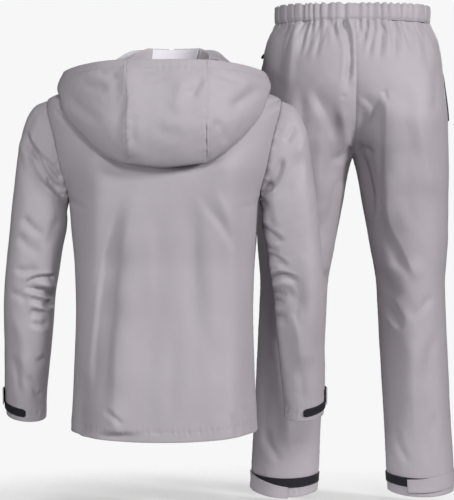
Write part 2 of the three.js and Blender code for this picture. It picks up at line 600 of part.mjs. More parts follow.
// The black loop strip round each hem, and the tab that closes over it
function makeHems() {
  const strip = {
    rows: evenSteps(LEG_HEM + 19, LEG_HEM + 37, 2),
    across: () => [...evenSteps(-90, 90, 11), ...evenSteps(90, 250, 8).slice(1)],
    thick: 1.1,
    lift: LIFT,
    closed: true,
    trim: false,
  };
  // A tab runs from the outer side seam to past the middle of the back, and falls and narrows as it goes.
  const tab = ({ rootHigh, rootLow, endHigh, endLow, end }) => {
    const point = (angle, share) => {
      const run = (90 - angle) / (90 - end);
      const low = LEG_HEM + rootLow + (endLow - rootLow) * run;
      const high = LEG_HEM + rootHigh + (endHigh - rootHigh) * run;
      return legPoint(angle, low + (high - low) * share);
    };
    const across = () => evenSteps(end, 90, 9);
    return wall(point, { rows: [0, 0.5, 1], across, thick: 1.3, lift: LIFT * 3 + 1.1, trim: false });
  };
  const geometry = wall(legPoint, strip);
  place(trousers, "hem_strip_right", geometry, black(0.85));
  place(trousers, "hem_strip_left", mirrored(geometry), black(0.85));
  place(trousers, "hem_tab_right", tab(RIGHT_TAB), cloth());
  place(trousers, "hem_tab_left", mirrored(tab(LEFT_TAB)), cloth());
}

// A solid for manifold-3d from a three.js geometry, and back
function toSolid(geometry) {
  const bare = geometry.index ? geometry.toNonIndexed() : geometry.clone();
  bare.deleteAttribute("normal");
  bare.deleteAttribute("uv");
  const merged = mergeVertices(bare, 1e-4);
  const mesh = new wasm.Mesh({
    numProp: 3,
    vertProperties: merged.attributes.position.array,
    triVerts: new Uint32Array(merged.index.array),
  });
  return new wasm.Manifold(mesh);
}

function toGeometry(solid) {
  const mesh = solid.getMesh();
  const geometry = new THREE.BufferGeometry();
  geometry.setAttribute("position", new THREE.BufferAttribute(new Float32Array(mesh.vertProperties), 3));
  geometry.setIndex(new THREE.BufferAttribute(new Uint32Array(mesh.triVerts), 1));
  geometry.computeVertexNormals();
  return geometry;
}

const SLIDER = { width: 8, length: 11, thick: 2.6, earGap: 3.6, earThick: 1.2, barRadius: 0.8, barOut: 4.9 };
const PULL = { width: 7, length: 27, thick: 1.6, eye: 1.95, eyeHole: 1.15, eyeWidth: 2.9 };

// A zip slider lying on its zip: X across, Y out of the cloth, Z up along the zip. Its bar carries the pull.
function sliderGeometry() {
  const { width, length, thick, earGap, earThick, barRadius, barOut } = SLIDER;
  const body = new THREE.CapsuleGeometry(width / 2, length - width, 3, 10).scale(1, 1, thick / width);
  body.rotateX(Math.PI / 2).translate(0, thick / 2, 0);
  const ears = [-1, 1].map((side) =>
    new THREE.BoxGeometry(earThick, barOut + barRadius + 0.4, 3.4)
      .translate((side * (earGap + earThick)) / 2, (barOut + barRadius + 0.4) / 2 + 0.6, 0),
  );
  const bar = new THREE.CylinderGeometry(barRadius, barRadius, earGap + earThick, 12);
  bar.rotateZ(Math.PI / 2).translate(0, barOut, 0);
  return toGeometry([...ears, bar].map(toSolid).reduce((sum, part) => sum.add(part), toSolid(body)));
}

// The pull tab about the axis of that bar, hanging down: an eye and a rounded blade.
function pullGeometry() {
  const { width, length, thick, eye, eyeHole, eyeWidth } = PULL;
  const side = new THREE.Shape().absarc(0, 0, eye, 0, Math.PI * 2);
  side.holes.push(new THREE.Path().absarc(0, 0, eyeHole, 0, Math.PI * 2, true));
  const ring = new THREE.ExtrudeGeometry(side, { depth: eyeWidth, bevelEnabled: false, curveSegments: 7 });
  ring.rotateY(Math.PI / 2).translate(-eyeWidth / 2, 0, 0);
  const outline = new THREE.Shape();
  outline.moveTo(-eyeWidth / 2, 0).lineTo(eyeWidth / 2, 0).lineTo(eyeWidth / 2, -4);
  outline.lineTo(width / 2, -8).lineTo(width / 2, -length + width / 2);
  outline.absarc(0, -length + width / 2, width / 2, 0, -Math.PI, true);
  outline.lineTo(-width / 2, -8).lineTo(-eyeWidth / 2, -4);
  const blade = new THREE.ExtrudeGeometry(outline, { depth: thick, bevelEnabled: false, curveSegments: 6 });
  blade.rotateX(Math.PI / 2).translate(0, thick / 2, -eye + 0.6);
  return toGeometry(toSolid(ring).add(toSolid(blade)));
}

// Sets a piece down at a point of a surface: X across, Y out and Z up along it.
function seat(mesh, point, out, up) {
  const across = new THREE.Vector3().crossVectors(out, up).normalize();
  const square = new THREE.Vector3().crossVectors(across, out).normalize();
  mesh.quaternion.setFromRotationMatrix(new THREE.Matrix4().makeBasis(across, out, square));
  mesh.position.copy(point);
}

// A closed zip along a path, given by its place across the zip and its height, with its slider and pull.
function makeZip(group, name, { path, half, thick, rows, sliderAt }) {
  const tape = wall(path, { rows, across: () => [-half, 0, half], thick, trim: false });
  place(group, `${name}_zip`, tape, black(0.7));
  const point = path(0, sliderAt);
  const up = path(0, sliderAt + 1).sub(point).normalize();
  const wide = path(1, sliderAt).sub(point);
  const out = new THREE.Vector3().crossVectors(wide, up).normalize();
  const slider = place(group, `${name}_slider`, sliderGeometry(), black(0.35));
  seat(slider, point.clone().addScaledVector(out, SEAM_GAP), out, up);
  const pull = place(group, `${name}_pull`, pullGeometry(), black(0.5));
  // A pull rests along its zip where the cloth slopes outwards below it, and hangs free of it elsewhere.
  const facing = new THREE.Vector3(out.x, out.y, Math.max(0, out.z)).normalize();
  seat(pull, point.clone().addScaledVector(out, SEAM_GAP + SLIDER.barOut), facing, up);
}

// The front zip rises from the hem to the top of the collar, flush with the cloth.
function makeFrontZip() {
  const start = bodyPoint(180, HEM_LEVEL);
  const neck = bodyPoint(180, NECK_LEVEL);
  const path = (x, z) => {
    // The level whose middle front hangs at this height
    let onBody = Math.min(NECK_LEVEL, z);
    for (let i = 0; i < 6; i += 1) onBody = Math.min(NECK_LEVEL, z + bodyLine.at(onBody, "frontDrop"));
    const share = clamp01((z - neck.z) / (COLLAR_FRONT - neck.z));
    const point = z <= neck.z ? bareBodyPoint(180, onBody) : collarPoint(180, share);
    return new THREE.Vector3(leanAt(180, z) - x, point.y, z);
  };
  const rows = [...evenSteps(start.z + 2, neck.z, 18), ...evenSteps(neck.z, ZIP_TOP, 5).slice(1)];
  makeZip(suit, "front", { path, half: ZIP_HALF, thick: ZIP_THICK, rows, sliderAt: ZIP_TOP - 11 });
}

// Each pocket zip lies on the front of the hip and runs down and back to the side seam.
function makePocketZips() {
  const { top, bottom, startAngle, turn, half, thick, sliderAt } = POCKET;
  const right = (x, z) => {
    const share = (z - bottom) / (top - bottom);
    const point = legPoint(startAngle + turn * share ** 3 + x * 0.42, z);
    const middle = new THREE.Vector3(legLine.at(z, "middle"), 0, z);
    return point.addScaledVector(point.clone().sub(middle).normalize(), LIFT * 3 + thick);
  };
  const left = (x, z) => right(-x, z).multiply(new THREE.Vector3(-1, 1, 1));
  const rows = evenSteps(bottom, top, 12);
  makeZip(trousers, "pocket_right", { path: right, half, thick, rows, sliderAt });
  makeZip(trousers, "pocket_left", { path: left, half, thick, rows, sliderAt });
}

makeBody();
makeSleeves();
makeHood();
makeCollar();
makeTrousers();
makeHems();
makeFrontZip();
makePocketZips();

export default suit;
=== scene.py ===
import logging
import math
from dataclasses import dataclass, field
from enum import Enum
from typing import Callable, Iterable, Sequence

import bpy
import numpy as np
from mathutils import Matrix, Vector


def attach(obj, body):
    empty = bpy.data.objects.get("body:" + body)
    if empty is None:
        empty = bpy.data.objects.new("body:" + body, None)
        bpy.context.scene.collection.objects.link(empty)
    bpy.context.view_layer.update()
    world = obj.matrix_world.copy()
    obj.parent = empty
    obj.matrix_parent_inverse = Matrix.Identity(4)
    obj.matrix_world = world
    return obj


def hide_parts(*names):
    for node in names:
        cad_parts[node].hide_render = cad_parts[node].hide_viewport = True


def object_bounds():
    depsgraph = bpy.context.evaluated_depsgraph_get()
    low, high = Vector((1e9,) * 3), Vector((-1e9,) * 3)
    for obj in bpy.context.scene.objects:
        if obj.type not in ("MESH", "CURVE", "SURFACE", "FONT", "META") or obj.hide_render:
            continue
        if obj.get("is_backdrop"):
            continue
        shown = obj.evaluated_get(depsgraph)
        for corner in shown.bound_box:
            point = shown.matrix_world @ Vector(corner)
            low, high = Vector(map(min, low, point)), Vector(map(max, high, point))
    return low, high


# The looks of a rain suit: a hooded jacket that is seen from the back, and elastic-waist trousers behind it.
# Sizes are in millimetres until a mesh is made, which is in metres. X is the wearer's right, Y the wearer's
# front and Z up, so the back that the camera sees faces -Y.

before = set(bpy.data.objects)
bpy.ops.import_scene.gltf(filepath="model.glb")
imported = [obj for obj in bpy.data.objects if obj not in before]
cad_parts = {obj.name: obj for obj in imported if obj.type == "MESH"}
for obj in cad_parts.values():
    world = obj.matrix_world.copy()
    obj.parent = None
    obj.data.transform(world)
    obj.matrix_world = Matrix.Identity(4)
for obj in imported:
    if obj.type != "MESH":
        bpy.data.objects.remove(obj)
CAD_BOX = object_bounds()

Array = np.ndarray
Place = tuple[float, float]
Surface = Callable[[Array, Array], Array]

MM = 0.001
SHOULDER_LEVEL, ARMPIT_LEVEL, NECK_LEVEL, HEM_LEVEL = -62.0, -262.0, 6.0, -718.0
ARMHOLE_BACK, ARMHOLE_FRONT = 20.0, 24.0
ZIP_HALF = 4.0
HOOD_END, HOOD_REST = 150.0, 7.0
HOOD_PANEL, HOOD_PANEL_SHIFT = 77.0, 9.0
NECK_LEAN = 18.0
TROUSERS = np.array([390.0, 228.0, 0.0])
LEG_PART = 0.2
BAND_TOP, BAND_BOTTOM, LEG_HEM = 151.0, 115.0, -865.0
FRONT_ZIP_BOTTOM, FRONT_ZIP_TOP = HEM_LEVEL - 4.0, 47.0
POCKET_BOTTOM, POCKET_TOP = -88.0, 80.0
SEAM_GAP = 0.05
STITCH_LIFT = 0.1
DENSITY = 1.0

log = logging.getLogger("rain_suit")


# Numbers and lines

def clamp01(value: Array) -> Array:
    """The value held between 0 and 1."""
    return np.clip(value, 0.0, 1.0)


def ease(value: Array) -> Array:
    """A smooth step from 0 to 1."""
    held = clamp01(value)
    return held * held * (3 - 2 * held)


def signed_power(value: Array, power: Array) -> Array:
    """A power that keeps the sign of its base."""
    return np.sign(value) * np.abs(value) ** power


def sin_of(degrees: Array) -> Array:
    """Sine of an angle in degrees."""
    return np.sin(np.radians(degrees))


def cos_of(degrees: Array) -> Array:
    """Cosine of an angle in degrees."""
    return np.cos(np.radians(degrees))


def unit(vectors: Array) -> Array:
    """Vectors of length 1 along the last axis."""
    return vectors / np.maximum(np.linalg.norm(vectors, axis=-1, keepdims=True), 1e-9)


def lengths_along(points: Array, axis: int) -> Array:
    """Distance of each point of a grid from the first one of its line.

    Args:
        points: Grid of points, or one line of them.
        axis: Axis that the lines run along.

    Returns:
        Distances in the points' own unit, with the grid's shape.
    """
    steps = np.linalg.norm(np.diff(points, axis=axis), axis=-1)
    start = np.zeros_like(np.take(steps, [0], axis=axis))
    return np.concatenate([start, np.cumsum(steps, axis=axis)], axis=axis)


def ripple(place: Array, seed: int, waves: int = 6) -> Array:
    """A smooth uneven wave about 1 high, with a swing for each unit of place.

    Args:
        place: Where to read it.
        seed: Which wave it is.
        waves: How many sines it is made of.

    Returns:
        Heights about 0.
    """
    draw = np.random.default_rng(seed)
    rates, phases = draw.uniform(0.45, 1.5, waves), draw.uniform(0, math.tau, waves)
    parts = [np.sin(math.tau * place * rate + phase) for rate, phase in zip(rates, phases)]
    return sum(parts) / math.sqrt(waves / 1.6)


def drift(points: Array, size: Sequence[float], seed: int, waves: int = 14, crisp: bool = False) -> Array:
    """An uneven field about 1 high in space, for cloth that is never quite smooth.

    Args:
        points: Where to read it, in mm.
        size: Usual length of a swell along X, Y and Z, in mm.
        seed: Which field it is.
        waves: How many plane waves it is made of.
        crisp: Whether its troughs are sharp, as in crumpled cloth.

    Returns:
        Heights about 0.
    """
    draw = np.random.default_rng(seed)
    total = np.zeros(points.shape[:-1])
    for _ in range(waves):
        way = unit(draw.normal(size=3)) * draw.uniform(0.55, 1.5)
        wave = np.sin((points / np.asarray(size)) @ way * math.pi + draw.uniform(0, math.tau))
        total += 1.27 - 2 * np.abs(wave) if crisp else wave
    return total / math.sqrt(waves / 2)


class Profile:
    """A smooth line through the rows of a table, which never swings past them."""

    def __init__(self, names: str, rows: Sequence[Sequence[float]]) -> None:
        """Sorts the rows and finds the slope at each.

        Args:
            names: Names of the columns, with the key's first.
            rows: One row of numbers for each knot.
        """
        table = np.array(sorted(rows), float)
        self.column = {name: i for i, name in enumerate(names.split()[1:])}
        self.knots, self.values = table[:, 0], table[:, 1:]
        steps = np.diff(self.values, axis=0) / np.diff(self.knots)[:, None]
        before, after = np.vstack([steps[:1], steps]), np.vstack([steps, steps[-1:]])
        both = before + after
        self.slopes = np.where(before * after <= 0, 0, 2 * before * after / np.where(both == 0, 1, both))

    def at(self, place: Array, name: str) -> Array:
        """Reads one column along the line.

        Args:
            place: Where to read it, in the key's unit.
            name: Name of the column.

        Returns:
            Values with the shape of place.
        """
        i = np.clip(np.searchsorted(self.knots, place, side="left") - 1, 0, len(self.knots) - 2)
        span = self.knots[i + 1] - self.knots[i]
        t = clamp01((place - self.knots[i]) / span)
        values, slopes = self.values[:, self.column[name]], self.slopes[:, self.column[name]]
        start, rise = values[i], values[i + 1] - values[i]
        leave, arrive = slopes[i] * span, slopes[i + 1] * span
        eased = start + t * leave + t * t * (3 * rise - 2 * leave - arrive)
        return eased + t**3 * (leave + arrive - 2 * rise)


def smooth_path(points: Sequence[Place], steps: int = 5) -> Array:
    """A curved line through a few places.

    Args:
        points: Places that it goes through.
        steps: Pieces between two of them.

    Returns:
        Places along the curve.
    """
    held = np.array([points[0], *points, points[-1]], float)
    shares = np.linspace(0, 1, steps, endpoint=False)[:, None]
    pieces = []
    for a, b, c, d in zip(held, held[1:], held[2:], held[3:]):
        bend = (2 * b) + (c - a) * shares + (2 * a - 5 * b + 4 * c - d) * shares**2
        pieces.append((bend + (3 * b - a - 3 * c + d) * shares**3) / 2)
    return np.vstack([*pieces, held[-1:]])


# Folds and creases

class Side(Enum):
    """Which way the cloth that takes a crease faces."""

    BACK = -1.0
    FRONT = 1.0


@dataclass(frozen=True)
class Fold:
    """A large fold of the form itself: a trough from one place in the X-Z plane to another, or a ridge."""

    start: Place
    stop: Place
    width: float
    depth: float


def fold_depth(folds: Iterable[Fold], x: Array, z: Array) -> Array:
    """How deep the large folds push a point in.

    Args:
        folds: The folds.
        x: Places across, in mm.
        z: Heights, in mm.

    Returns:
        Depths in mm.
    """
    total = np.zeros_like(x)
    for fold in folds:
        run_x, run_z = fold.stop[0] - fold.start[0], fold.stop[1] - fold.start[1]
        away_x, away_z = x - fold.start[0], z - fold.start[1]
        t = clamp01((away_x * run_x + away_z * run_z) / (run_x**2 + run_z**2))
        away = np.hypot(away_x - t * run_x, away_z - t * run_z)
        fade = ease(t * 3.2) * ease((1 - t) * 3.2)
        total += fold.depth * fade * np.exp(-((away / fold.width) ** 2))
    return total


def folded(points: Array, middle: Array, folds: Iterable[Fold], facing: Array) -> Array:
    """Moves points towards the middle of their ring by the large folds.

    Args:
        points: Points in mm.
        middle: Middle of each point's ring, as X and Y.
        folds: The folds.
        facing: How squarely the cloth faces along Y, from -1 to 1.

    Returns:
        The moved points.
    """
    depth = fold_depth(folds, points[..., 0], points[..., 2]) * ease(np.abs(facing) * 2.2)
    moved = points.copy()
    moved[..., :2] += unit(middle - points[..., :2]) * depth[..., None]
    return moved


class Sight:
    """The camera's view of the suit, 454 across and 500 down, which creases are placed in."""

    DISTANCE = 4000.0
    MIDDLE_X, MIDDLE_Z = 125.0, -360.0
    ACROSS, DOWN = 227.0, 250.0
    SCALE = 2.0

    @classmethod
    def of(cls, points: Array) -> tuple[Array, Array]:
        """Places of points in the view, as across and down."""
        scale = cls.SCALE * (cls.DISTANCE + points[..., 1]) / cls.DISTANCE
        across = cls.ACROSS + (points[..., 0] - cls.MIDDLE_X) / scale
        return across, cls.DOWN - (points[..., 2] - cls.MIDDLE_Z) / scale


@dataclass(frozen=True)
class Crease:
    """A crease in the cloth, placed in the camera's view. A depth below 0 is a ridge."""

    path: Sequence[Place]
    depth: float
    width: float
    crisp: float = 0.0
    lean: float = 0.0
    start: float = 0.3
    stop: float = 0.3
    wrap: float = 0.12
    side: Side = Side.BACK

    def depth_at(self, across: Array, down: Array) -> Array:
        """How deep the crease is at places of the view.

        Args:
            across: Places across the view.
            down: Places down the view.

        Returns:
            Depths in mm.
        """
        line = smooth_path(self.path)
        reach = 3.2 * self.width / Sight.SCALE
        low, high = line.min(0) - reach, line.max(0) + reach
        near = (across > low[0]) & (across < high[0]) & (down > low[1]) & (down < high[1])
        out = np.zeros_like(across)
        if not near.any():
            return out
        x, y = across[near], down[near]
        best, along, hand = np.full(x.shape, 1e9), np.zeros(x.shape), np.zeros(x.shape)
        travelled = 0.0
        for (ax, ay), (bx, by) in zip(line, line[1:]):
            ux, uy = bx - ax, by - ay
            length = math.hypot(ux, uy)
            if length < 1e-6:
                continue
            t = clamp01(((x - ax) * ux + (y - ay) * uy) / length**2)
            dx, dy = x - ax - t * ux, y - ay - t * uy
            away = np.hypot(dx, dy)
            closer = away < best
            best = np.where(closer, away, best)
            along = np.where(closer, travelled + t * length, along)
            hand = np.where(closer, np.sign(ux * dy - uy * dx), hand)
            travelled += length
        away = best * Sight.SCALE / (self.width * (1 + self.lean * hand))
        soft = (1 - 0.45 * away**2) * np.exp(-0.85 * away**2)
        sharp = clamp01(1 - (np.sqrt(away**2 + 0.006) - 0.077) / 1.6) ** 1.45
        sharp = sharp - 0.16 * np.exp(-(((away - 1.9) / 0.6) ** 2))
        share = along / travelled
        fade = ease(share / max(self.start, 1e-3)) * ease((1 - share) / max(self.stop, 1e-3))
        uneven = 1 + 0.12 * ripple(along * Sight.SCALE / 130.0, int(abs(line[0, 0] * 7 + line[0, 1] * 3)))
        out[near] = self.depth * fade * uneven * (soft * (1 - self.crisp) + sharp * self.crisp)
        return out


def at_back(*rows: tuple) -> tuple[Crease, ...]:
    """Creases that the camera sees, each as its path and numbers in the order of Crease."""
    return tuple(Crease(*row) for row in rows)


def at_front(*rows: tuple) -> tuple[Crease, ...]:
    """Creases on the side that the camera doesn't see."""
    return tuple(Crease(*row, side=Side.FRONT) for row in rows)


# Cloth

class ClothGrid:
    """A piece of cloth as a grid of points in mm. Columns run across it, and rows along it."""

    HELD_AT_RING, HELD_AT_EDGE = 9.0, 11.0

    def __init__(self, points: Array, closed: bool = False) -> None:
        """Keeps the points.

        Args:
            points: Rows by columns by 3.
            closed: Whether the last column joins the first.
        """
        self.points = points.astype(float)
        self.closed = closed

    def normals(self) -> Array:
        """Outward directions of the grid's points."""
        if self.closed:
            wide = np.roll(self.points, -1, axis=1) - np.roll(self.points, 1, axis=1)
        else:
            wide = np.gradient(self.points, axis=1)
        return unit(np.cross(wide, np.gradient(self.points, axis=0)))

    def from_start(self) -> Array:
        """Distance along the rows' direction from the first row."""
        return lengths_along(self.points, 0)

    def from_stop(self) -> Array:
        """Distance along the rows' direction from the last row."""
        run = self.from_start()
        return run[-1:] - run

    def from_left(self) -> Array:
        """Distance across from the first column."""
        return lengths_along(self.points, 1)

    def from_right(self) -> Array:
        """Distance across from the last column."""
        run = self.from_left()
        return run[:, -1:] - run

    def press(self, depth: Array) -> None:
        """Pushes the cloth in by a depth at each point."""
        self.points = self.points - self.normals() * depth[..., None]

    def soften(self, times: int) -> None:
        """Evens the cloth out from column to column, and leaves its edges where they are."""
        for _ in range(times):
            beside = self.points[:, :-2] + self.points[:, 2:]
            self.points[:, 1:-1] = self.points[:, 1:-1] * 0.5 + beside * 0.25

    def crease(self, creases: Iterable[Crease], relief: float = 1.0) -> None:
        """Adds creases that are placed in the camera's view.

        Args:
            creases: The creases of this piece and its neighbours.
            relief: Factor of their depths.
        """
        across, down = Sight.of(self.points)
        faces = self.normals()[..., 1]
        depth = np.zeros_like(across)
        for one in creases:
            depth += one.depth_at(across, down) * ease((faces * one.side.value + one.wrap) * 2.2)
        self.press(depth * relief * self.held())

    def held(self) -> Array:
        """How freely the cloth folds: little at its sewn edges, and fully away from them."""
        if self.closed:
            return 0.35 + 0.65 * ease(self.from_start() / self.HELD_AT_RING)
        edge = np.minimum(self.from_left(), self.from_right())
        return 0.12 + 0.88 * ease(edge / self.HELD_AT_EDGE)

    def uneven(self, height: float, size: Sequence[float], seed: int, crisp: bool = False) -> None:
        """Makes the cloth a little uneven.

        Args:
            height: Usual height of a swell, in mm.
            size: Usual length of a swell along X, Y and Z, in mm.
            seed: Which field it is.
            crisp: Whether its troughs are sharp.
        """
        self.press(height * drift(self.points, size, seed, crisp=crisp))

    def pucker(self, run: Array, away: Array, height: float, spacing: float, reach: float, seed: int) -> None:
        """Puckers the cloth beside a line of sewing.

        Args:
            run: Distance along the line, in mm.
            away: Distance from the line, in mm.
            height: Height of the puckers, in mm.
            spacing: Usual length of one, in mm.
            reach: How far they reach from the line, in mm.
            seed: Which puckers they are.
        """
        self.press(height * ripple(run / spacing, seed) * np.exp(-((away / reach) ** 2)))

    def groove(self, away: Array, depth: float = 1.1, width: float = 2.6) -> None:
        """Draws the cloth in at a seam.

        Args:
            away: Distance from the seam, in mm.
            depth: How deep it is drawn in, in mm.
            width: How wide the groove is, in mm.
        """
        self.press(depth * np.exp(-((away / width) ** 2)))

    def line_at(self, run: Array, distance: float) -> Array:
        """A row of stitches across the cloth at a distance.

        Args:
            run: Distance of each point along its column.
            distance: The distance to follow.

        Returns:
            Points in mm, one for each column.
        """
        lifted = self.points + self.normals() * STITCH_LIFT
        line = []
        for i in range(run.shape[1]):
            order = np.argsort(run[:, i])
            line.append([np.interp(distance, run[order, i], lifted[order, i, k]) for k in range(3)])
        if self.closed:
            line.append(line[0])
        return np.array(line)

    def rims(self, distance: float) -> list[Array]:
        """Rows of stitches along both long edges of a strap."""
        return [self.line_at(self.from_start(), distance), self.line_at(self.from_stop(), distance)]

    def line_down(self, run: Array, distance: float) -> Array:
        """A row of stitches along the cloth at a distance from a side edge.

        Args:
            run: Distance of each point along its row.
            distance: The distance to follow.

        Returns:
            Points in mm, one for each row.
        """
        lifted = self.points + self.normals() * STITCH_LIFT
        line = []
        for j in range(run.shape[0]):
            order = np.argsort(run[j])
            line.append([np.interp(distance, run[j, order], lifted[j, order, k]) for k in range(3)])
        return np.array(line)


def sweep(point: Surface, rows: Array, start: Array, stop: Array, count: int) -> Array:
    """A grid over a surface whose rows are divided evenly along their own length.

    Args:
        point: The surface.
        rows: Place of each row along the surface.
        start: Where each row starts across it.
        stop: Where each row stops across it.
        count: Columns of the grid.

    Returns:
        Points, rows by columns by 3.
    """
    lines, count = [], count // 2 * 2 + 1
    for row, first, last in zip(rows, start, stop):
        fine = np.linspace(first, last, count * 3)
        run = lengths_along(point(fine, np.full_like(fine, row)), 0)
        places = np.interp(np.linspace(0, run[-1], count), run, fine)
        lines.append(point(places, np.full_like(places, row)))
    return np.stack(lines)


def even_rows(probes: Sequence[Callable[[Array], Array]], start: float, stop: float, spacing: float) -> Array:
    """Places of rows that are nowhere further apart than a spacing.

    Args:
        probes: Lines along the surface, each a point for each place.
        start: First place.
        stop: Last place.
        spacing: Most distance between two rows, in mm.

    Returns:
        The places.
    """
    fine = np.linspace(start, stop, 4000)
    steps = np.max([np.linalg.norm(np.diff(probe(fine), axis=0), axis=-1) for probe in probes], axis=0)
    run = np.concatenate([[0], np.cumsum(steps)])
    count = max(1, round(run[-1] / (spacing * DENSITY) / 2)) * 2
    return np.interp(np.linspace(0, run[-1], count + 1), run, fine)


def mirrored(points: Array) -> Array:
    """A grid for the other side, with its columns turned round so that it faces out."""
    return (points * np.array([-1.0, 1.0, 1.0]))[:, ::-1]


EDGE_STEPS = (0.3, 0.7)


def cloth_mesh(name: str, grid: ClothGrid, thick: Array | float) -> bpy.types.Object:
    """Makes a thin closed shell of cloth with rounded ends and its own UV map in metres.

    The inside has half as many rows and columns, so a grid has an odd number of rows, and an odd number of
    columns unless it is closed.

    Args:
        name: Name of the piece.
        grid: The cloth's outer face.
        thick: Thickness in mm, for each point or all.

    Returns:
        The new object. Faces of its second material slot are the inside.
    """
    outer, normals = grid.points, grid.normals()
    rows, columns = outer.shape[:2]
    assert rows % 2 and (columns + grid.closed) % 2, f"{name} has {rows} rows and {columns} columns"
    wall = np.broadcast_to(np.asarray(thick, float), (rows, columns))[..., None]
    sunk = wall + chord_rise(grid, normals)[..., None]
    inner = (outer - normals * sunk)[::2, ::2]
    rims = []
    for end, beyond, shares in ((-1, -2, EDGE_STEPS), (0, 1, EDGE_STEPS[::-1])):
        way = unit(outer[end] - outer[beyond])
        rims += [outer[end] - normals[end] * wall[end] * share + way * wall[end] * 0.42 for share in shares]
    points = np.concatenate([outer.reshape(-1, 3), *rims, inner.reshape(-1, 3)])
    outer_at = np.arange(rows * columns).reshape(rows, columns)
    rim_at = rows * columns + np.arange(4 * columns).reshape(4, columns)
    inner_at = (rows + 4) * columns + np.arange(inner.shape[0] * inner.shape[1]).reshape(inner.shape[:2])
    across, along = grid.from_left(), grid.from_start()
    if grid.closed:
        gap = np.linalg.norm(outer[:, 0] - outer[:, -1], axis=-1, keepdims=True)
        across, along = np.hstack([across, across[:, -1:] + gap]), np.hstack([along, along[:, :1]])
        outer_at, rim_at, inner_at = (np.hstack([at, at[:, :1]]) for at in (outer_at, rim_at, inner_at))
    place = np.stack([across, along], -1) * MM
    faces = Faces()
    faces.strips(np.vstack([outer_at, rim_at[:2]]), place[[*range(rows), -1, -1]], 0)
    faces.strips(np.vstack([rim_at[2:], outer_at[:1]]), place[[0, 0, 0]], 0)
    faces.strips(inner_at[::-1], place[::-2, ::2], 1)
    faces.fans(rim_at[1], inner_at[-1], place[-1])
    faces.fans(rim_at[2, ::-1], inner_at[0, ::-1], place[0, ::-1])
    if not grid.closed:
        for column, way in ((0, 1), (-1, -1)):
            faces.fans(outer_at[::way, column], inner_at[::way, column], place[::way, column])
            for ring, row in (([outer_at[-1, column], *rim_at[:2, column], inner_at[-1, column]], -1),
                              ([inner_at[0, column], *rim_at[2:, column], outer_at[0, column]], 0)):
                faces.add(ring[::way], np.repeat(place[row, column][None], 4, 0), 0)
    return mesh_object(name, points * MM, faces)


def chord_rise(grid: ClothGrid, normals: Array) -> Array:
    """How far the coarse inside would rise through a sharp trough, so that it can be sunk by as much.

    Args:
        grid: The cloth's outer face.
        normals: Its outward directions.

    Returns:
        Distances in mm.
    """
    total = np.zeros(grid.points.shape[:2])
    for axis in (0, 1):
        before, after = np.roll(grid.points, 1, axis), np.roll(grid.points, -1, axis)
        rise = np.maximum(0, (normals * ((before + after) / 2 - grid.points)).sum(-1))
        if axis == 0 or not grid.closed:
            np.moveaxis(rise, axis, 0)[[0, -1]] = 0
        total += np.maximum(np.roll(rise, 1, axis), np.roll(rise, -1, axis)) + rise
    return np.minimum(total, 2.0)


class Faces:
    """Faces of a mesh in the making, with their UV corners and material slots."""

    def __init__(self) -> None:
        """Starts with none."""
        self.rings: list = []
        self.uv: list = []
        self.slots: list = []

    def add(self, ring: Sequence[int], uv: Array, slot: int) -> None:
        """Adds one face."""
        self.rings.append(list(ring))
        self.uv.append(uv)
        self.slots.append(slot)

    def strips(self, at: Array, place: Array, slot: int) -> None:
        """Adds the quads of a grid of vertices, whose rows run to the right of the one before.

        Args:
            at: Vertex numbers.
            place: Their UV places.
            slot: Material slot.
        """
        def corners(table: Array) -> Array:
            return np.stack([table[:-1, :-1], table[:-1, 1:], table[1:, 1:], table[1:, :-1]], 2)
        rings = corners(at).reshape(-1, 4)
        self.rings += rings.tolist()
        self.uv += list(corners(place).reshape(-1, 4, 2))
        self.slots += [slot] * len(rings)

    def fans(self, fine: Array, coarse: Array, place: Array) -> None:
        """Joins a fine line of vertices to a line of half as many with five-sided faces.

        Args:
            fine: Vertex numbers of the fine line.
            coarse: Vertex numbers of the coarse one.
            place: UV places of the fine one.
        """
        for i in range(len(coarse) - 1):
            self.add([fine[2 * i], fine[2 * i + 1], fine[2 * i + 2], coarse[i + 1], coarse[i]],
                     place[[2 * i, 2 * i + 1, 2 * i + 2, 2 * i + 2, 2 * i]], 0)


def mesh_object(name: str, points: Array, faces: Faces) -> bpy.types.Object:
    """Makes a mesh object from arrays, smooth but for its edges.

    Args:
        name: Name of the piece.
        points: Vertices in metres.
        faces: Its faces.

    Returns:
        The new object.
    """
    mesh = bpy.data.meshes.new(name)
    sizes = np.array([len(ring) for ring in faces.rings])
    mesh.vertices.add(len(points))
    mesh.vertices.foreach_set("co", points.astype(np.float32).ravel())
    mesh.loops.add(int(sizes.sum()))
    corners = np.concatenate([np.asarray(ring) for ring in faces.rings])
    mesh.loops.foreach_set("vertex_index", corners.astype(np.int32))
    mesh.polygons.add(len(sizes))
    mesh.polygons.foreach_set("loop_start", np.concatenate([[0], np.cumsum(sizes)[:-1]]).astype(np.int32))
    mesh.polygons.foreach_set("material_index", np.asarray(faces.slots, np.int32))
    layer = mesh.uv_layers.new(name="cloth")
    layer.data.foreach_set("uv", np.concatenate(faces.uv).astype(np.float32).ravel())
    mesh.update(calc_edges=True)
    mesh.validate()
    made = bpy.data.objects.new(name, mesh)
    bpy.context.scene.collection.objects.link(made)
    smooth(made, 55)
    return made


def select_only(made: bpy.types.Object) -> None:
    """Selects one object and makes it active."""
    bpy.ops.object.select_all(action="DESELECT")
    made.select_set(True)
    bpy.context.view_layer.objects.active = made


def smooth(made: bpy.types.Object, degrees: float) -> None:
    """Shades an object smooth, but for edges sharper than an angle."""
    select_only(made)
    bpy.ops.object.shade_smooth_by_angle(angle=math.radians(degrees))


# Finishes

